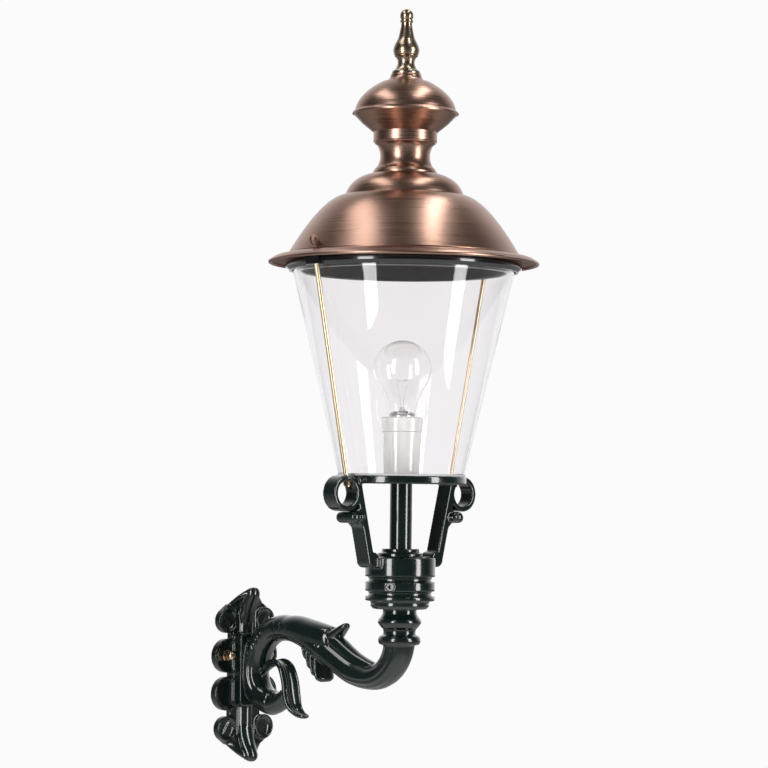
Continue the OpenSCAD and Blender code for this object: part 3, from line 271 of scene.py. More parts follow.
# %% Spun copper
COPPER_TONES = [(0.3, (0.4, 0.235, 0.175)), (0.55, (0.47, 0.29, 0.22)), (0.75, (0.54, 0.345, 0.27))]
RING_TONES = [(0.3, (0.72, 0.72, 0.72)), (0.7, (1, 1, 1))]
copper, tree, shader = finish("spun_copper", (0.46, 0.24, 0.165), 1.0, 0.3)
rings = noise(tree, (6, 6, 900), 6.0, 0.7)
patches = noise(tree, (9, 9, 14), 3.0)
streak = tree.nodes.new("ShaderNodeMix")
streak.data_type = "RGBA"
streak.blend_type = "MULTIPLY"
streak.inputs["Factor"].default_value = 0.5
tree.links.new(ramp(tree, patches, COPPER_TONES), streak.inputs["A"])
tree.links.new(ramp(tree, rings, RING_TONES), streak.inputs["B"])
tree.links.new(streak.outputs["Result"], shader.inputs["Base Color"])
tree.links.new(span(tree, rings, 0.2, 0.38), shader.inputs["Roughness"])
bump(tree, rings, 0.12, 0.0004, shader)
print("finish", copper.name)

# %% [markdown]
# The finial is a small casting, dipped bright and left to dull. Cast metal has a fine grain that turning
# doesn't leave, so its noise is the same in all directions.

# %% Cast bronze for the finial
bronze, tree, shader = finish("cast_bronze", (0.4, 0.31, 0.22), 1.0, 0.24)
grain = noise(tree, (160, 160, 160), 5.0)
tone = ramp(tree, noise(tree, (40, 40, 30)), [(0.35, (0.36, 0.27, 0.19)), (0.7, (0.52, 0.43, 0.33))])
tree.links.new(tone, shader.inputs["Base Color"])
tree.links.new(span(tree, grain, 0.16, 0.34), shader.inputs["Roughness"])
bump(tree, grain, 0.25, 0.0006, shader)
print("finish", bronze.name)

# %% [markdown]
# The tie rods are drawn through a die, which leaves long fine lines. Noise that is squeezed across the rod
# and stretched along it gives them.

# %% Brass for the rods and nuts
brass, tree, shader = finish("drawn_brass", (0.7, 0.52, 0.24), 1.0, 0.22)
drawn = noise(tree, (900, 900, 12), 4.0)
tone = ramp(tree, drawn, [(0.3, (0.76, 0.57, 0.36)), (0.7, (0.86, 0.7, 0.5))])
tree.links.new(tone, shader.inputs["Base Color"])
tree.links.new(span(tree, drawn, 0.16, 0.3), shader.inputs["Roughness"])
print("finish", brass.name)

# %% [markdown]
# The castings are sprayed with a very dark green gloss. Sprayed paint is never quite flat: a fine, weak bump
# breaks the reflections up a little. A Bevel node rounds the sharp edges of the drawn frame, as paint does.
# The clear coat over a rougher base is what gives gloss paint a sharp reflection and a soft one at once.


# %% Gloss paint for the castings
def gloss_paint(name, dark, light):
    """A dark gloss paint that varies between two tones."""
    m, tree, shader = finish(name, dark, 0.0, 0.16, Coat_Weight=1.0, Coat_Roughness=0.05)
    mottled = noise(tree, (22, 22, 22), 5.0)
    tree.links.new(ramp(tree, mottled, [(0.35, dark), (0.75, light)]), shader.inputs["Base Color"])
    peel = noise(tree, (260, 260, 260), 2.0)
    tree.links.new(span(tree, peel, 0.12, 0.24), shader.inputs["Roughness"])
    edge = tree.nodes.new("ShaderNodeBevel")
    edge.samples = 4
    edge.inputs["Radius"].default_value = 0.0009
    bump(tree, peel, 0.1, 0.0005, shader, edge.outputs["Normal"])
    return m


green_paint = gloss_paint("green_gloss", (0.003, 0.009, 0.008), (0.006, 0.018, 0.014))
black_paint = gloss_paint("black_gloss", (0.004, 0.004, 0.005), (0.009, 0.009, 0.01))
print("finishes", green_paint.name, black_paint.name)

# %% [markdown]
# Three plain finishes are left for what is mostly hidden: zinc-plated steel for the strap and the screws,
# glazed porcelain for the lamp holder, whose glaze lies in faint clouds, and the pale seals of the glass.

# %% Steel, porcelain and rubber
steel, tree, shader = finish("plated_steel", (0.56, 0.57, 0.58), 1.0, 0.28)
brushed = noise(tree, (500, 500, 60), 4.0)
tone = ramp(tree, brushed, [(0.3, (0.48, 0.48, 0.49)), (0.7, (0.64, 0.65, 0.66))])
tree.links.new(tone, shader.inputs["Base Color"])
tree.links.new(span(tree, brushed, 0.2, 0.36), shader.inputs["Roughness"])

glaze = {"Coat_Weight": 0.5, "Coat_Roughness": 0.03}
porcelain, tree, shader = finish("glazed_porcelain", (0.86, 0.85, 0.82), 0.0, 0.1, **glaze)
cloud = noise(tree, (60, 60, 60), 3.0)
tone = ramp(tree, cloud, [(0.3, (0.82, 0.81, 0.78)), (0.7, (0.88, 0.87, 0.85))])
tree.links.new(tone, shader.inputs["Base Color"])
bump(tree, cloud, 0.05, 0.0005, shader)

rubber, tree, shader = finish("clear_seal", (0.62, 0.64, 0.64), 0.0, 0.5)
cloud = noise(tree, (300, 300, 300), 3.0)
tree.links.new(span(tree, cloud, 0.4, 0.6), shader.inputs["Roughness"])
bump(tree, cloud, 0.2, 0.0003, shader)
print("finishes", steel.name, porcelain.name, rubber.name)

# %% [markdown]
# Clear glass is mostly what it shows of the room. The shade's blown wall waves a little, so a wide weak bump
# bends its reflections. The lamp's thin bulb waves less.


# %% Glass
def clear_glass(name, color, wave):
    """Clear glass whose surface waves a little."""
    m, tree, shader = finish(name, color, 0.0, 0.0, IOR=1.45, Transmission_Weight=1.0)
    bump(tree, noise(tree, (12, 12, 7), 2.0), wave, 0.002, shader)
    return m


shade_glass = clear_glass("shade_glass", (0.972, 0.96, 0.967), 0.15)
lamp_glass = clear_glass("lamp_glass", (0.99, 0.99, 0.985), 0.05)
print("finishes", shade_glass.name, lamp_glass.name)

# %% [markdown]
# ## The castings
# The bracket and its wall plate are cast metal: smooth, swelling forms that run into each other with soft
# fillets, as a pattern maker carves them. Such a piece could be sculpted with brushes, but then nobody could
# change it. Here its forms are laid along curves, joined, and fused by a voxel remesh, which fills the
# corners between them as molten metal would. All sizes are in millimetres, measured from the lantern's axis
# towards the wall and from the middle of the wall plate upwards.

# %% Small helpers for the castings
WALL_D = 250


def at(x, d, z):
    """Millimetres across, from the axis towards the wall, and up, as a point of the frame."""
    return Vector((x / 1000, d / 1000 + AXIS.y, z / 1000))


def arc(cd, cz, r, a0, a1, step=1.6):
    """Points on a circle round (cd, cz), from angle a0 to a1 in degrees."""
    count = max(2, round(abs(math.radians(a1 - a0)) * r / step))
    angles = [math.radians(a0 + (a1 - a0) * k / count) for k in range(count + 1)]
    return [(cd + r * math.cos(a), cz + r * math.sin(a)) for a in angles]


def smooth_run(points, n):
    """A smooth run through stations of any length, with n steps between neighbours."""
    run = []
    for i in range(len(points) - 1):
        a, b = points[max(i - 1, 0)], points[i]
        c, d = points[i + 1], points[min(i + 2, len(points) - 1)]
        for k in range(n):
            t = k / n
            run.append(tuple(
                0.5 * (2 * q + (r - p) * t + (2 * p - 5 * q + 4 * r - s) * t * t + (3 * q - p - 3 * r + s) * t ** 3)
                for p, q, r, s in zip(a, b, c, d)
            ))
    return run + [tuple(points[-1])]


def ease(v, low, high):
    """0 below low, 1 above high, and an even curve between."""
    t = min(1, max(0, (v - low) / (high - low)))
    return t * t * (3 - 2 * t)


def bell(v, middle, width):
    """1 in the middle, falling off evenly on both sides."""
    return math.exp(-((v - middle) / width) ** 2)


def only(piece):
    """Select one piece and nothing else."""
    bpy.ops.object.select_all(action="DESELECT")
    piece.select_set(True)
    bpy.context.view_layer.objects.active = piece


# %% [markdown]
# A long carved form starts as a flat grid that is rolled up round its curve, like a sheet of wax round a
# wire. Each ring of the grid gets a station: where it lies, half its thickness and half its width. A relief
# function then lifts or sinks single points, which is how the leaf's strokes and the flutes are carved, and
# a section function can replace the plain ellipse. A curve with a bevel would be quicker, but all its
# sections have one shape.


# %% Roll a grid round a curve
def rolled(name, stations, sides, relief=None, section=None):
    """A closed form along the stations (d, z, half thickness, half width)."""
    rows = len(stations)
    bpy.ops.object.select_all(action="DESELECT")
    bpy.ops.mesh.primitive_grid_add(x_subdivisions=sides, y_subdivisions=rows - 1, size=2)
    piece = bpy.context.object
    piece.name = name
    length = [0.0]
    for a, b in zip(stations, stations[1:]):
        length.append(length[-1] + math.hypot(b[0] - a[0], b[1] - a[1]))
    ways = []
    for i in range(rows):
        a, b = stations[max(i - 1, 0)], stations[min(i + 1, rows - 1)]
        run = math.hypot(b[0] - a[0], b[1] - a[1])
        ways.append(((b[0] - a[0]) / run, (b[1] - a[1]) / run))
    for v in piece.data.vertices:
        row = round((v.co.y + 1) / 2 * (rows - 1))
        turn = 2 * math.pi * round((v.co.x + 1) / 2 * sides) / sides
        x, y = math.cos(turn), math.sin(turn)
        d, z, thick, wide = stations[row]
        px, py = (wide * x, thick * y) if section is None else section(x, y, thick, wide)
        if relief is not None:
            lift = relief(length[row], x, y)
            nx, ny = x / wide, y / thick
            size = math.hypot(nx, ny)
            px, py = px + lift * nx / size, py + lift * ny / size
        way_d, way_z = ways[row]
        v.co = at(px, d - way_z * py, z + way_d * py)
    bpy.ops.object.mode_set(mode="EDIT")
    bpy.ops.mesh.select_all(action="SELECT")
    bpy.ops.mesh.remove_doubles(threshold=0.00001)
    bpy.ops.mesh.fill_holes(sides=0)
    bpy.ops.mesh.normals_make_consistent(inside=False)
    bpy.ops.object.mode_set(mode="OBJECT")
    return piece


# %% [markdown]
# Round parts are turned: one point is drawn out into an outline and then spun once round the axis, as the
# pattern maker's lathe does it.


# %% Turn an outline round an upright axis
def turned(name, outline, d=0, steps=96):
    """A turned form whose outline is a list of (radius, height)."""
    bpy.ops.object.select_all(action="DESELECT")
    bpy.ops.mesh.primitive_plane_add(size=0.001, location=at(outline[0][0], d, outline[0][1]))
    piece = bpy.context.object
    piece.name = name
    bpy.ops.object.mode_set(mode="EDIT")
    bpy.ops.mesh.select_all(action="SELECT")
    bpy.ops.mesh.merge(type="CENTER")
    for (r0, z0), (r1, z1) in zip(outline, outline[1:]):
        move = ((r1 - r0) / 1000, 0, (z1 - z0) / 1000)
        bpy.ops.mesh.extrude_vertices_move(TRANSFORM_OT_translate={"value": move})
    bpy.ops.mesh.select_all(action="SELECT")
    bpy.ops.mesh.spin(steps=steps, angle=2 * math.pi, center=at(0, d, 0), axis=(0, 0, 1))
    bpy.ops.mesh.select_all(action="SELECT")
    bpy.ops.mesh.remove_doubles(threshold=0.00001)
    bpy.ops.mesh.normals_make_consistent(inside=False)
    bpy.ops.object.mode_set(mode="OBJECT")
    bpy.ops.object.transform_apply(location=True, rotation=True, scale=True)
    return piece


# %% [markdown]
# The arm's foot and its seat on the plate are the same small block with rounded corners. Both are a cube
# whose four edges that point at the wall are picked by their direction and bevelled.

# %% A block as large as the arm's foot
FOOT_WIDTH, FOOT_HEIGHT, FOOT_CORNER = 0.038, 0.079, 0.005
FOOT_Z = 5.6


def rounded_block(name, d, depth):
    """A block of the foot's outline, at d, with its corners rounded."""
    bpy.ops.object.select_all(action="DESELECT")
    bpy.ops.mesh.primitive_cube_add(size=1, location=at(0, d, FOOT_Z))
    piece = bpy.context.object
    piece.name = name
    piece.scale = (FOOT_WIDTH, depth, FOOT_HEIGHT)
    bpy.ops.object.transform_apply(location=True, rotation=True, scale=True)
    bpy.ops.object.mode_set(mode="EDIT")
    bpy.ops.mesh.select_all(action="DESELECT")
    form = bmesh.from_edit_mesh(piece.data)
    for e in form.edges:
        a, b = (v.co for v in e.verts)
        e.select_set(abs(a.x - b.x) < 1e-5 and abs(a.z - b.z) < 1e-5)
    bmesh.update_edit_mesh(piece.data)
    bpy.ops.mesh.bevel(offset=FOOT_CORNER, segments=6)
    bpy.ops.object.mode_set(mode="OBJECT")
    return piece


# %% [markdown]
# What stands on the plate has a flat back, so it is sliced there and the slice is filled.


# %% Slice a form flat
def sliced(piece, d):
    """The piece without what lies beyond d."""
    only(piece)
    bpy.ops.object.mode_set(mode="EDIT")
    bpy.ops.mesh.select_all(action="SELECT")
    bpy.ops.mesh.bisect(plane_co=at(0, d, 0), plane_no=(0, 1, 0), clear_outer=True, use_fill=True)
    bpy.ops.object.mode_set(mode="OBJECT")
    return piece


# %% [markdown]
# The forms of a casting are joined and then fused: the voxel remesh wraps one skin round all of them, and a
# few rounds of smoothing round its edges and fill its corners. Where the skin has more triangles than the
# piece needs, the flat places give some up.

# %% Fuse joined forms into one casting
MOST_TRIANGLES = 190000


def fused(name, forms, voxel, rounds):
    """One casting made of all the forms."""
    only(forms[0])
    for form in forms[1:]:
        form.select_set(True)
    bpy.ops.object.join()
    piece = bpy.context.object
    piece.name = name
    bpy.ops.object.transform_apply(location=True, rotation=True, scale=True)
    remesh = piece.modifiers.new("fuse", "REMESH")
    remesh.mode = "VOXEL"
    remesh.voxel_size = voxel
    soften = piece.modifiers.new("soften", "SMOOTH")
    soften.factor = 0.5
    soften.iterations = rounds
    for step in ("fuse", "soften"):
        bpy.ops.object.modifier_apply(modifier=step)
    piece.data.calc_loop_triangles()
    if len(piece.data.loop_triangles) > MOST_TRIANGLES:
        thin = piece.modifiers.new("thin_out", "DECIMATE")
        thin.ratio = MOST_TRIANGLES / len(piece.data.loop_triangles)
        bpy.ops.object.modifier_apply(modifier="thin_out")
    bpy.ops.object.shade_smooth()
    piece.data.calc_loop_triangles()
    print(name, len(piece.data.loop_triangles), "triangles")
    return piece


# %% [markdown]
# ### The scroll arm
# The arm hangs down from the lantern in a tight bend, climbs, arches over to the wall and curls up below its
# foot. A leaf lies over the arch and ends in a tip that turns up. In front of it the bare arm is fluted.
# The curve is built from arcs that meet without a corner, as it would be set out with compasses, and carries
# the arm's section from one end to the other.

# %% The arm's curve, from the spigot to the end of the scroll
CLIMB = 26
BEND_Z, BEND_R, BOTTOM_Z = 50, 42, 8
SWEEP_R, FRONT_R, BACK_R, CURL_R, HOOK_R = 100, 84, 50, 31.5, 26
FOOT_D = 227
climb = math.radians(CLIMB)
peak_d = FOOT_D - BACK_R
straight = peak_d - BEND_R - (SWEEP_R + FRONT_R) * math.sin(climb)
rise = (SWEEP_R + FRONT_R) * (1 - math.cos(climb))
peak_z = BOTTOM_Z + rise + straight * math.tan(climb)
leg_z = peak_z - BACK_R
curl_d = FOOT_D - CURL_R
slope_d = BEND_R + SWEEP_R * math.sin(climb)
slope_z = BOTTOM_Z + SWEEP_R * (1 - math.cos(climb))
slope = [(slope_d + straight * k / 36, slope_z + straight * k / 36 * math.tan(climb)) for k in range(1, 36)]
upright = [(0, BEND_Z + 14 - 1.6 * k) for k in range(9)]
# each stretch: its points, and the half thickness and half width of the arm at its start and end
stretches = [
    (upright, (16.4, 16.4), (16.4, 16.4)),
    (arc(BEND_R, BEND_Z, BEND_R, 180, 270), (16.4, 16.4), (12.8, 16)),
    (arc(BEND_R, BOTTOM_Z + SWEEP_R, SWEEP_R, -90, CLIMB - 90), (12.8, 16), (13, 16)),
    (slope, (13, 16), (13.1, 16)),
    (arc(peak_d, peak_z - FRONT_R, FRONT_R, 90 + CLIMB, 90), (13.1, 16), (13.9, 16)),
    (arc(peak_d, leg_z, BACK_R, 90, 0), (13.9, 16), (13.9, 16)),
    (arc(curl_d, leg_z, CURL_R, 0, -90), (13.9, 16), (13.5, 15.4)),
    (arc(curl_d, leg_z - CURL_R + HOOK_R, HOOK_R, -90, -152), (13, 14.4), (5.4, 10)),
]
print("the arm peaks at", round(peak_z, 1), "mm and its foot is at", round(leg_z, 1), "mm")

# %% [markdown]
# The stations follow the curve. Only between the bend and the leaf the real arm lies a little higher than the
# compass draws it, so there they are lifted. The distance along the arm is kept too, because the relief is
# written in it.

# %% Lay the arm's stations
LIFT = 1.6
arm_stations = []
for points, first, last in stretches:
    start = 1 if arm_stations else 0
    for k in range(start, len(points)):
        t = k / (len(points) - 1)
        d, z = points[k]
        lift = LIFT * ease(d, 60, 88) * (1 - ease(d, 120, 150))
        thick, wide = (a + (b - a) * t for a, b in zip(first, last))
        arm_stations.append((d, z + lift, thick, wide))
arm_length = [0.0]
for a, b in zip(arm_stations, arm_stations[1:]):
    arm_length.append(arm_length[-1] + math.hypot(b[0] - a[0], b[1] - a[1]))


def length_at(d):
    """How far along the arm it first passes d."""
    return next(s for s, station in zip(arm_length, arm_stations) if station[0] > d)


leaf_front, fringe_end = length_at(113), length_at(196)
print("arm", len(arm_stations), "stations,", round(arm_length[-1]), "mm along its curve")

# %% [markdown]
# The relief is written in terms of the distance along the arm and the place round it: x is 1 at the sides
# and y runs from the hollow side of the curve to its back. The leaf's surface is cut with short strokes, each
# a ridge beside a groove, that lean forward in front and back towards the foot. A groove follows the leaf's
# hem. The bare arm, the inside of the bend and the scroll have long flutes.

# %% Set out the strokes and the flutes
# each stroke: where it lies along the arm, degrees up the arm's side, and which way it leans
STROKES = [
    (180, 4, 1), (170, 6, 1), (161, 9, 1), (152, 13, 1), (144, 17, 1), (136, 21, 1),
    (128, 27, 1), (120, 33, 1), (114, 30, 1), (200, 4, -1), (208, 0, -1), (216, -4, -1),
]
strokes = [(length_at(d), up, lean) for d, up, lean in STROKES]
# the radius of the arm's side and the degrees in a radian turn degrees up the side into millimetres
SIDE_R, PER_RADIAN = 15, 57.3
HEM_AT, HEM_DEPTH = -42, 0.9
BARE_FLUTES = ((8, 0.8), (-16, 1.0), (-42, 1.0), (-68, 0.8))
BEND_FLUTES, BEND_DEPTH = (-20, 2, 24, 46), 0.9
SCROLL_FLUTES = ((26, 1.1), (-24, 1.1))
print(len(strokes), "strokes,", len(BARE_FLUTES) + len(BEND_FLUTES) + len(SCROLL_FLUTES), "flutes on a side")


# %% Carve the arm
def arm_relief(s, x, y):
    """How far the arm's surface is lifted, s along it, at the place (x, y) round it."""
    up = math.degrees(math.atan2(y, abs(x)))
    lift = 0.0
    for place, middle, lean in strokes:
        high = (up - middle) / PER_RADIAN * SIDE_R
        if abs(high) < 8 and abs(s - place) < 8:
            off = s - place - 0.42 * lean * high
            window = math.exp(-(high / 4.4) ** 4)
            lift += window * (1.5 * bell(off, -1.7, 1.3) - 1.9 * bell(off, 1.1, 1.2))
    hem = ease(s, leaf_front + 6, leaf_front + 20) * (1 - ease(s, fringe_end, fringe_end + 24))
    lift -= HEM_DEPTH * hem * bell(up, HEM_AT, 6)
    bare = ease(s, 34, 62) * (1 - ease(s, leaf_front - 10, leaf_front + 2))
    for middle, deep in BARE_FLUTES:
        lift -= bare * deep * bell(up, middle, 5.5)
    inner = 1 - ease(s, 40, 74)
    for middle in BEND_FLUTES:
        lift -= inner * ease(s, 6, 26) * BEND_DEPTH * bell(up, middle, 6)
    end = arm_length[-1]
    scroll = ease(s, fringe_end + 16, fringe_end + 46) * (1 - ease(s, end - 30, end - 6))
    for middle, deep in SCROLL_FLUTES:
        lift -= scroll * deep * bell(up, middle, 7)
    return lift


arm_tube = rolled("arm_tube", arm_stations, 80, arm_relief)
print("arm tube", len(arm_tube.data.vertices), "points")

# %% [markdown]
# The scroll ends in a long curled tongue. Its face towards the lantern is hollowed like a real leaf's, so the
# section is a crescent with thick rims. A thin sheet with Solidify would have the same thickness all over,
# and a real cast leaf is thick in the middle and at its rims.


# %% The tongue
def hollow(side, depth):
    """A section whose upper (1) or lower (-1) side is hollowed out between its rims."""
    def section(x, y, thick, wide):
        px, py = wide * x, thick * y
        if y * side > 0:
            py *= 1 - depth * max(0, 1 - (x / 0.72) ** 2)
        return px, py
    return section


TONGUE = [
    # from the middle of the curl: forward, up, half thickness, half width
    (20.5, -2.1, 2.5, 4), (13, 5.2, 3.8, 6.4), (3, 11.2, 4.6, 8), (-9, 13.2, 5, 10), (-19, 7.8, 5, 11.6),
    (-25.6, -6, 4.9, 12.2), (-28.8, -21.5, 4.8, 12.4), (-33, -33.6, 4.5, 11), (-42, -40.6, 3.8, 8.2),
    (-50.5, -42.4, 3, 5.6), (-54.4, -42.2, 1.4, 2.6),
]
tongue_run = smooth_run([(curl_d + d, leg_z + z, thick, wide) for d, z, thick, wide in TONGUE], 8)
tongue = rolled("tongue", tongue_run, 44, None, hollow(-1, 0.95))
print("tongue", len(tongue.data.vertices), "points")

# %% [markdown]
# The leaf wraps the arm as a second, thicker skin that stops short at its hem. In front of the hem a rib runs
# on along the arm's back, and above it the leaf's tip turns up. Each is a form of its own, laid through a few
# stations and fused with the arm later.

# %% The leaf's sheath, rib and tip
SHEATH = [
    (202, 42, 8.5, 11), (189, 48.6, 11, 13.6), (177, 52, 13, 15.4), (166, 52.9, 14, 16.2),
    (153.8, 52.2, 14.6, 16.6), (137.2, 48.8, 15.3, 16.8), (120.5, 45.8, 15.4, 16.4),
    (109.2, 43.6, 15.2, 15.2), (103.4, 42.4, 14.6, 13.6), (99.8, 42.2, 12.6, 11.4), (98.2, 42.4, 7.5, 7),
]
RIB = [
    (113, 47, 8, 9), (103.3, 45.4, 8.6, 9.8), (87.6, 37.4, 8.6, 9.6), (78.3, 31.8, 8.6, 9.2),
    (65.6, 24.9, 8.6, 8.8), (52.4, 19.8, 8.4, 8.4), (40, 16.4, 7.8, 7.6), (31, 16, 5, 5.6), (27, 16.5, 2, 3),
]
TIP = [
    (112, 42, 6, 10), (103, 46, 7, 11), (97, 49.2, 6.6, 10.4), (91, 53, 5.4, 8.8),
    (85.5, 56.8, 4.4, 6.8), (80.8, 59.6, 3.4, 4.8), (78.2, 61, 1.6, 2.4),
]
sheath = rolled("leaf_sheath", smooth_run(SHEATH, 8), 64)
rib = rolled("leaf_rib", smooth_run(RIB, 8), 44)
leaf_tip = rolled("leaf_tip", smooth_run(TIP, 8), 40, None, hollow(1, 0.15))
print("leaf", sheath.name, rib.name, leaf_tip.name)

# %% [markdown]
# Under the arm the leaf's lobes hang free as a fringe of rounded fingers, each a little thicker and longer
# than the last. One list of places makes all four.

# %% The fringe
FINGERS = [(136, 20), (128.6, 10.4), (121.4, 3.4), (113.8, -1.6)]
fringe = []
for k, (d, foot) in enumerate(FINGERS):
    thick, wide = 2.9 + 0.45 * k, 11.4 + 0.6 * k
    top = 40 - 3.4 * k
    fringe.append(rolled("finger", smooth_run([
        (d + 5, top, thick - 0.4, wide - 1.5),
        (d + 3, (top + foot) / 2 + 3, thick, wide),
        (d + 0.8, foot + 6.5, 1.05 * thick, wide),
        (d - 0.2, foot + 2.8, 0.95 * thick, 0.84 * wide),
        (d - 0.6, foot + 0.5, 0.5 * thick, 0.5 * wide),
    ], 6), 44))
print("fringe of", len(fringe), "fingers")

# %% [markdown]
# The arm's upright end carries two turned beads below the spigot that stands in the cradle's socket. Only the
# beads are smoothed; the shoulder and the spigot keep their corners.

# %% The two beads and the spigot
FOOT_OF_BEADS = [(0, 45.1), (14, 45.1)]
BEADS = [
    (17.4, 43.6), (20.6, 44.6), (22, 48.8), (20.4, 52.8), (17.6, 54), (16.8, 55.2), (16.7, 58.8),
    (17.4, 60.2), (19, 61.6), (21.8, 65.4), (22.6, 67.4), (21.8, 69.8), (19.2, 73), (17.6, 76),
]
SPIGOT = [(17.4, 80.7), (23.9, 82.6), (23.9, 110.6), (0, 110.6)]
beads = turned("beads", FOOT_OF_BEADS + smooth_run(BEADS, 4) + SPIGOT)
print("beads", len(beads.data.vertices), "points")

# %% [markdown]
# The arm's back is sliced flat behind the foot, and the foot pad closes it. Then all the arm's forms become
# one casting, which takes the place of the drawn arm and rides on the bracket.

# %% Fuse the arm
pad = rounded_block("foot_pad", 234.5, 0.011)
sliced(arm_tube, 239.9)
arm = fused("scroll_arm_casting", [arm_tube, tongue, sheath, rib, leaf_tip, beads, pad] + fringe, 0.00078, 6)
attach(arm, "bracket")
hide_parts("scroll_arm")
arm.data.materials.append(green_paint)

# %% [markdown]
# ### The wall plate
# The plate has four round lobes on each side, dished and with a raised rim, and an upright ridge that runs
# out into a curled leaf at each end. The lobes could be drawn as one outline, but as separate discs they
# keep their rims, and the voxel remesh joins them to the plate's middle.

# %% The lobes
LOBE_D, LOBE_THICKNESS = 245.9, 0.0082
DISH = [(0.0016, 0.0006), (0.0016, -0.0018), (0.0018, -0.0014), (0.004, -0.0004)]
# each lobe: across, up and radius
LOBES = [(25.5, 20.5, 18.6), (26, 58.5, 13.6)]
MIDDLE_X = 15


def lobe(x, z, r, side):
    """A disc with a raised rim and a dished face, cut off where the plate's middle begins."""
    bpy.ops.object.select_all(action="DESELECT")
    bpy.ops.mesh.primitive_cylinder_add(
        vertices=72, radius=r / 1000, depth=LOBE_THICKNESS,
        location=at(x, LOBE_D, z), rotation=(math.pi / 2, 0, 0),
    )
    piece = bpy.context.object
    piece.name = "lobe"
    bpy.ops.object.transform_apply(location=True, rotation=True, scale=True)
    bpy.ops.object.mode_set(mode="EDIT")
    bpy.ops.mesh.select_all(action="DESELECT")
    form = bmesh.from_edit_mesh(piece.data)
    for face in form.faces:
        face.select_set(face.normal.y < -0.9)
    bmesh.update_edit_mesh(piece.data)
    for thickness, depth in DISH:
        bpy.ops.mesh.inset(thickness=thickness, depth=depth)
    bpy.ops.mesh.select_all(action="SELECT")
    bpy.ops.mesh.bisect(plane_co=at(side * MIDDLE_X, 0, 0), plane_no=(side, 0, 0), clear_inner=True, use_fill=True)
    bpy.ops.object.mode_set(mode="OBJECT")
    return piece


plate_forms = []
for side in (-1, 1):
    for end in (-1, 1):
        for x, z, r in LOBES:
            plate_forms.append(lobe(side * x, end * z, r, side))
print("lobes", len(plate_forms))

# %% [markdown]
# Between the lobes lies a flat middle that widens into two shoulders at each end. A circle of twelve points
# is moved on to its outline, point by point in their order round the middle, and drawn out.

# %% The plate's middle with its shoulders
HALF_ROUND = [(21.5, -50.5), (21.5, 50.5), (34.2, 69.4), (25.2, 76), (-25.2, 76), (-34.2, 69.4)]
outline = HALF_ROUND + [(-x, -z) for x, z in HALF_ROUND]
bpy.ops.object.select_all(action="DESELECT")
bpy.ops.mesh.primitive_circle_add(vertices=12, radius=0.05, fill_type="NGON", rotation=(math.pi / 2, 0, 0))
middle = bpy.context.object
middle.name = "plate_middle"
bpy.ops.object.transform_apply(location=True, rotation=True, scale=True)
ring = sorted(middle.data.vertices, key=lambda v: math.atan2(v.co.z, v.co.x))
for v, (x, z) in zip(ring, outline):
    v.co = at(x, WALL_D, z)
bpy.ops.object.mode_set(mode="EDIT")
bpy.ops.mesh.select_all(action="SELECT")
bpy.ops.mesh.extrude_region_move(TRANSFORM_OT_translate={"value": (0, -0.006, 0)})
bpy.ops.mesh.select_all(action="SELECT")
bpy.ops.mesh.normals_make_consistent(inside=False)
bpy.ops.object.mode_set(mode="OBJECT")
plate_forms.append(middle)
print("plate's middle", len(middle.data.vertices), "points")

# %% [markdown]
# The ridge is half round and runs up the middle. At each end a broad leaf rises from the shoulders and curls
# away from the wall, with a round back that carries the ridge on to its tip. The same stations, turned over,
# make the lower end. The seat is the flat block that the arm's foot is screwed against.

# %% The ridge, its curled leaves and the arm's seat
BLADE = [
    (247, 66, 2.7, 32), (246.5, 72, 2.9, 29), (244.5, 78, 3.6, 23), (240.5, 84, 4.6, 16),
    (235.5, 88, 5, 10.4), (231.5, 90.5, 4.6, 7.6), (229, 92, 3, 5.5), (227.6, 92.8, 1, 2),
]
BACK = [
    (245, 48, 5, 6.5), (242.5, 58, 6, 9.2), (240.5, 69, 6.6, 9.5), (237.5, 78, 7, 8.9),
    (234, 85, 7, 8.3), (231, 89, 6, 7.5), (229, 92, 3.5, 5), (228, 94, 1, 1.5),
]
ridge = rolled("ridge", [(246.3, z, 9.8, 9.8) for z in range(-66, 67, 4)], 48)
plate_forms.append(sliced(ridge, WALL_D))
for end in (-1, 1):
    for name, leaf in (("leaf_blade", BLADE), ("leaf_back", BACK)):
        run = smooth_run([(d, end * z, thick, wide) for d, z, thick, wide in leaf], 6)
        plate_forms.append(rolled(name, run, 48))
plate_forms.append(rounded_block("seat", 245, 0.01))
plate = fused("wall_plate_casting", plate_forms, 0.00074, 9)

# %% [markdown]
# The back is machined after casting: a slot for the hidden strap, recesses for the bolts and the cable's
# hole. Those are cut with crisp edges, so they come after the remesh, as Boolean cuts. Smooth shading is
# then split at the crisp edges by their angle.


# %% Tools for the cuts
def cutter_box(x0, x1, d0, d1, z0, z1):
    """A box to cut with."""
    bpy.ops.object.select_all(action="DESELECT")
    bpy.ops.mesh.primitive_cube_add(size=1, location=at((x0 + x1) / 2, (d0 + d1) / 2, (z0 + z1) / 2))
    bpy.context.object.scale = ((x1 - x0) / 1000, (d1 - d0) / 1000, (z1 - z0) / 1000)
    return bpy.context.object


def cutter_bore(x, d0, d1, z, r):
    """A drill that points at the wall."""
    bpy.ops.object.select_all(action="DESELECT")
    bpy.ops.mesh.primitive_cylinder_add(
        vertices=48, radius=r / 1000, depth=(d1 - d0) / 1000,
        location=at(x, (d0 + d1) / 2, z), rotation=(math.pi / 2, 0, 0),
    )
    return bpy.context.object


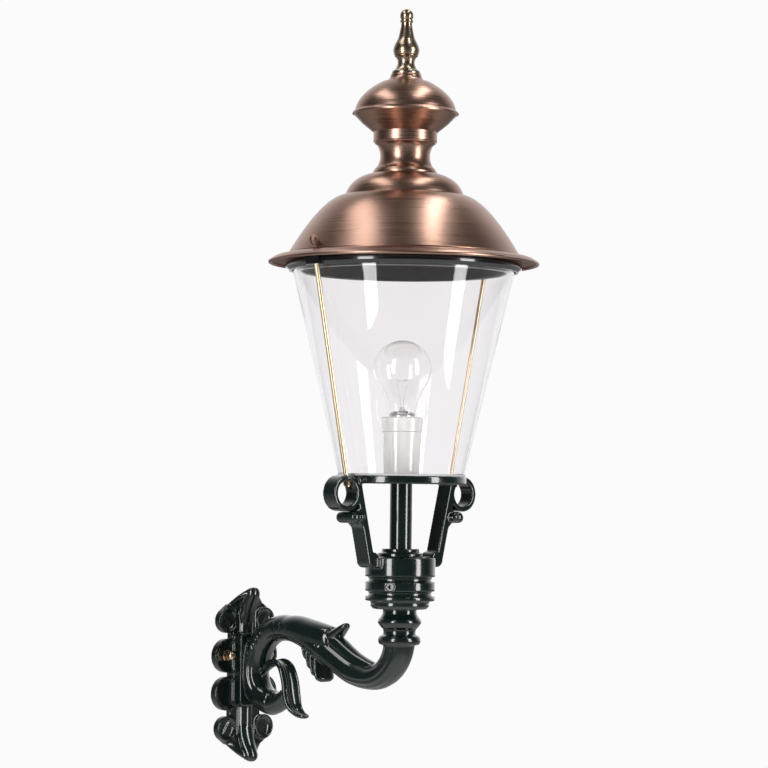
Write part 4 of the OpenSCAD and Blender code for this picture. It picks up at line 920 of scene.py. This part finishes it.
def cut_away(piece, cutters):
    """Cut all the cutters out of the piece."""
    only(cutters[0])
    for c in cutters[1:]:
        c.select_set(True)
    if len(cutters) > 1:
        bpy.ops.object.join()
    tool = bpy.context.object
    bpy.ops.object.transform_apply(location=True, rotation=True, scale=True)
    only(piece)
    cut = piece.modifiers.new("machining", "BOOLEAN")
    cut.operation, cut.solver, cut.object = "DIFFERENCE", "EXACT", tool
    bpy.ops.object.modifier_apply(modifier="machining")
    bpy.data.objects.remove(tool)
    bpy.ops.object.shade_smooth_by_angle(angle=math.radians(50))
    piece.data.calc_loop_triangles()
    print(piece.name, len(piece.data.loop_triangles), "triangles when machined")


# %% [markdown]
# The plate gets the strap's slot, two recesses for the heads of the arm's bolts, the cable's hole and the
# holes of the strap's two studs. The arm gets the mouth of its cable duct, in line with the hole.

# %% Cut the slot, the recesses and the cable's way
DUCT_Z = leg_z - 11
STUD_X, STUD_Z = 27, 20.5
cut_away(plate, [
    cutter_box(-35.5, 35.5, 247.2, 252, 12, 29),
    cutter_bore(0, 244.4, 252, 37.1, 7),
    cutter_bore(0, 244.4, 252, -25.9, 7),
    cutter_bore(0, 238, 252, DUCT_Z, 5),
    cutter_bore(-STUD_X, 230, 249, STUD_Z, 3.3),
    cutter_bore(STUD_X, 230, 249, STUD_Z, 3.3),
])
cut_away(arm, [cutter_bore(0, 226, 241, DUCT_Z, 4.5)])
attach(plate, "bracket")
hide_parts("wall_plate")
plate.data.materials.append(green_paint)

# %% [markdown]
# ### The cradle
# The cradle's drawn part has sharp, machined edges, and the real one is a painted casting. A copy of it gets
# two thicker round bars, one where each lyre arm curls under its ring, and is then fused and softened as the
# other castings are, so that its edges catch the light. The drawn mesh is loose triangles, so the copy is
# merged first.

# %% Soften the cradle
BAR_X, BAR_Z, BAR_R, BAR_L = 73.3, 174.6, 5.9, 30
bpy.ops.object.select_all(action="DESELECT")
core = bpy.data.objects.new("cradle_core", nodes["cradle"].data.copy())
scene.collection.objects.link(core)
only(core)
bpy.ops.object.mode_set(mode="EDIT")
bpy.ops.mesh.select_all(action="SELECT")
bpy.ops.mesh.remove_doubles(threshold=0.000002)
bpy.ops.object.mode_set(mode="OBJECT")
bars = []
for side in (-1, 1):
    bpy.ops.object.select_all(action="DESELECT")
    bpy.ops.mesh.primitive_cylinder_add(
        vertices=48, radius=BAR_R / 1000, depth=BAR_L / 1000,
        location=(side * BAR_X / 1000, AXIS.y, BAR_Z / 1000), rotation=(math.pi / 2, 0, 0),
    )
    bar = bpy.context.object
    bar.name = "cradle_bar"
    round_off = bar.modifiers.new("round_off", "BEVEL")
    round_off.width, round_off.segments = 0.9 * BAR_R / 1000, 5
    bpy.ops.object.modifier_apply(modifier="round_off")
    bars.append(bar)
cradle = fused("cradle_casting", [core] + bars, 0.0009, 3)
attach(cradle, "bracket")
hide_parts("cradle")
cradle.data.materials.clear()
cradle.data.materials.append(green_paint)

# %% [markdown]
# ## The drawn parts
# Every part that comes straight from the frame has a slot in the frame's record, and the slot names its
# finish. Only the material changes: its mesh and its place stay as drawn.

# %% Give each drawn part its finish
finishes = {
    "copper": copper,
    "bronze": bronze,
    "brass": brass,
    "green_paint": green_paint,
    "black_paint": black_paint,
    "steel": steel,
    "porcelain": porcelain,
    "lamp_glass": lamp_glass,
    "shade_glass": shade_glass,
    "seal_rubber": rubber,
}
slot_of = {part["node"]: part["material_slot"] for part in frame["record"]["subparts"]}
for name, node in nodes.items():
    node.data.materials.clear()
    node.data.materials.append(finishes[slot_of[name]])
print("finished", len(nodes), "parts")

# %% [markdown]
# The grub screws in the cradle's socket get the plated steel with darker tones, so their finish is a copy
# of that one.

# %% Darken the grub screws
darker_steel = steel.copy()
darker_steel.name = "darker_plated_steel"
shades = next(v for v in darker_steel.node_tree.nodes if v.type == "VALTORGB")
for e, tone in zip(shades.color_ramp.elements, (0.05, 0.1)):
    e.color = (tone, tone, tone, 1)
nodes["grub_screws"].data.materials[0] = darker_steel
print("finish", darker_steel.name)
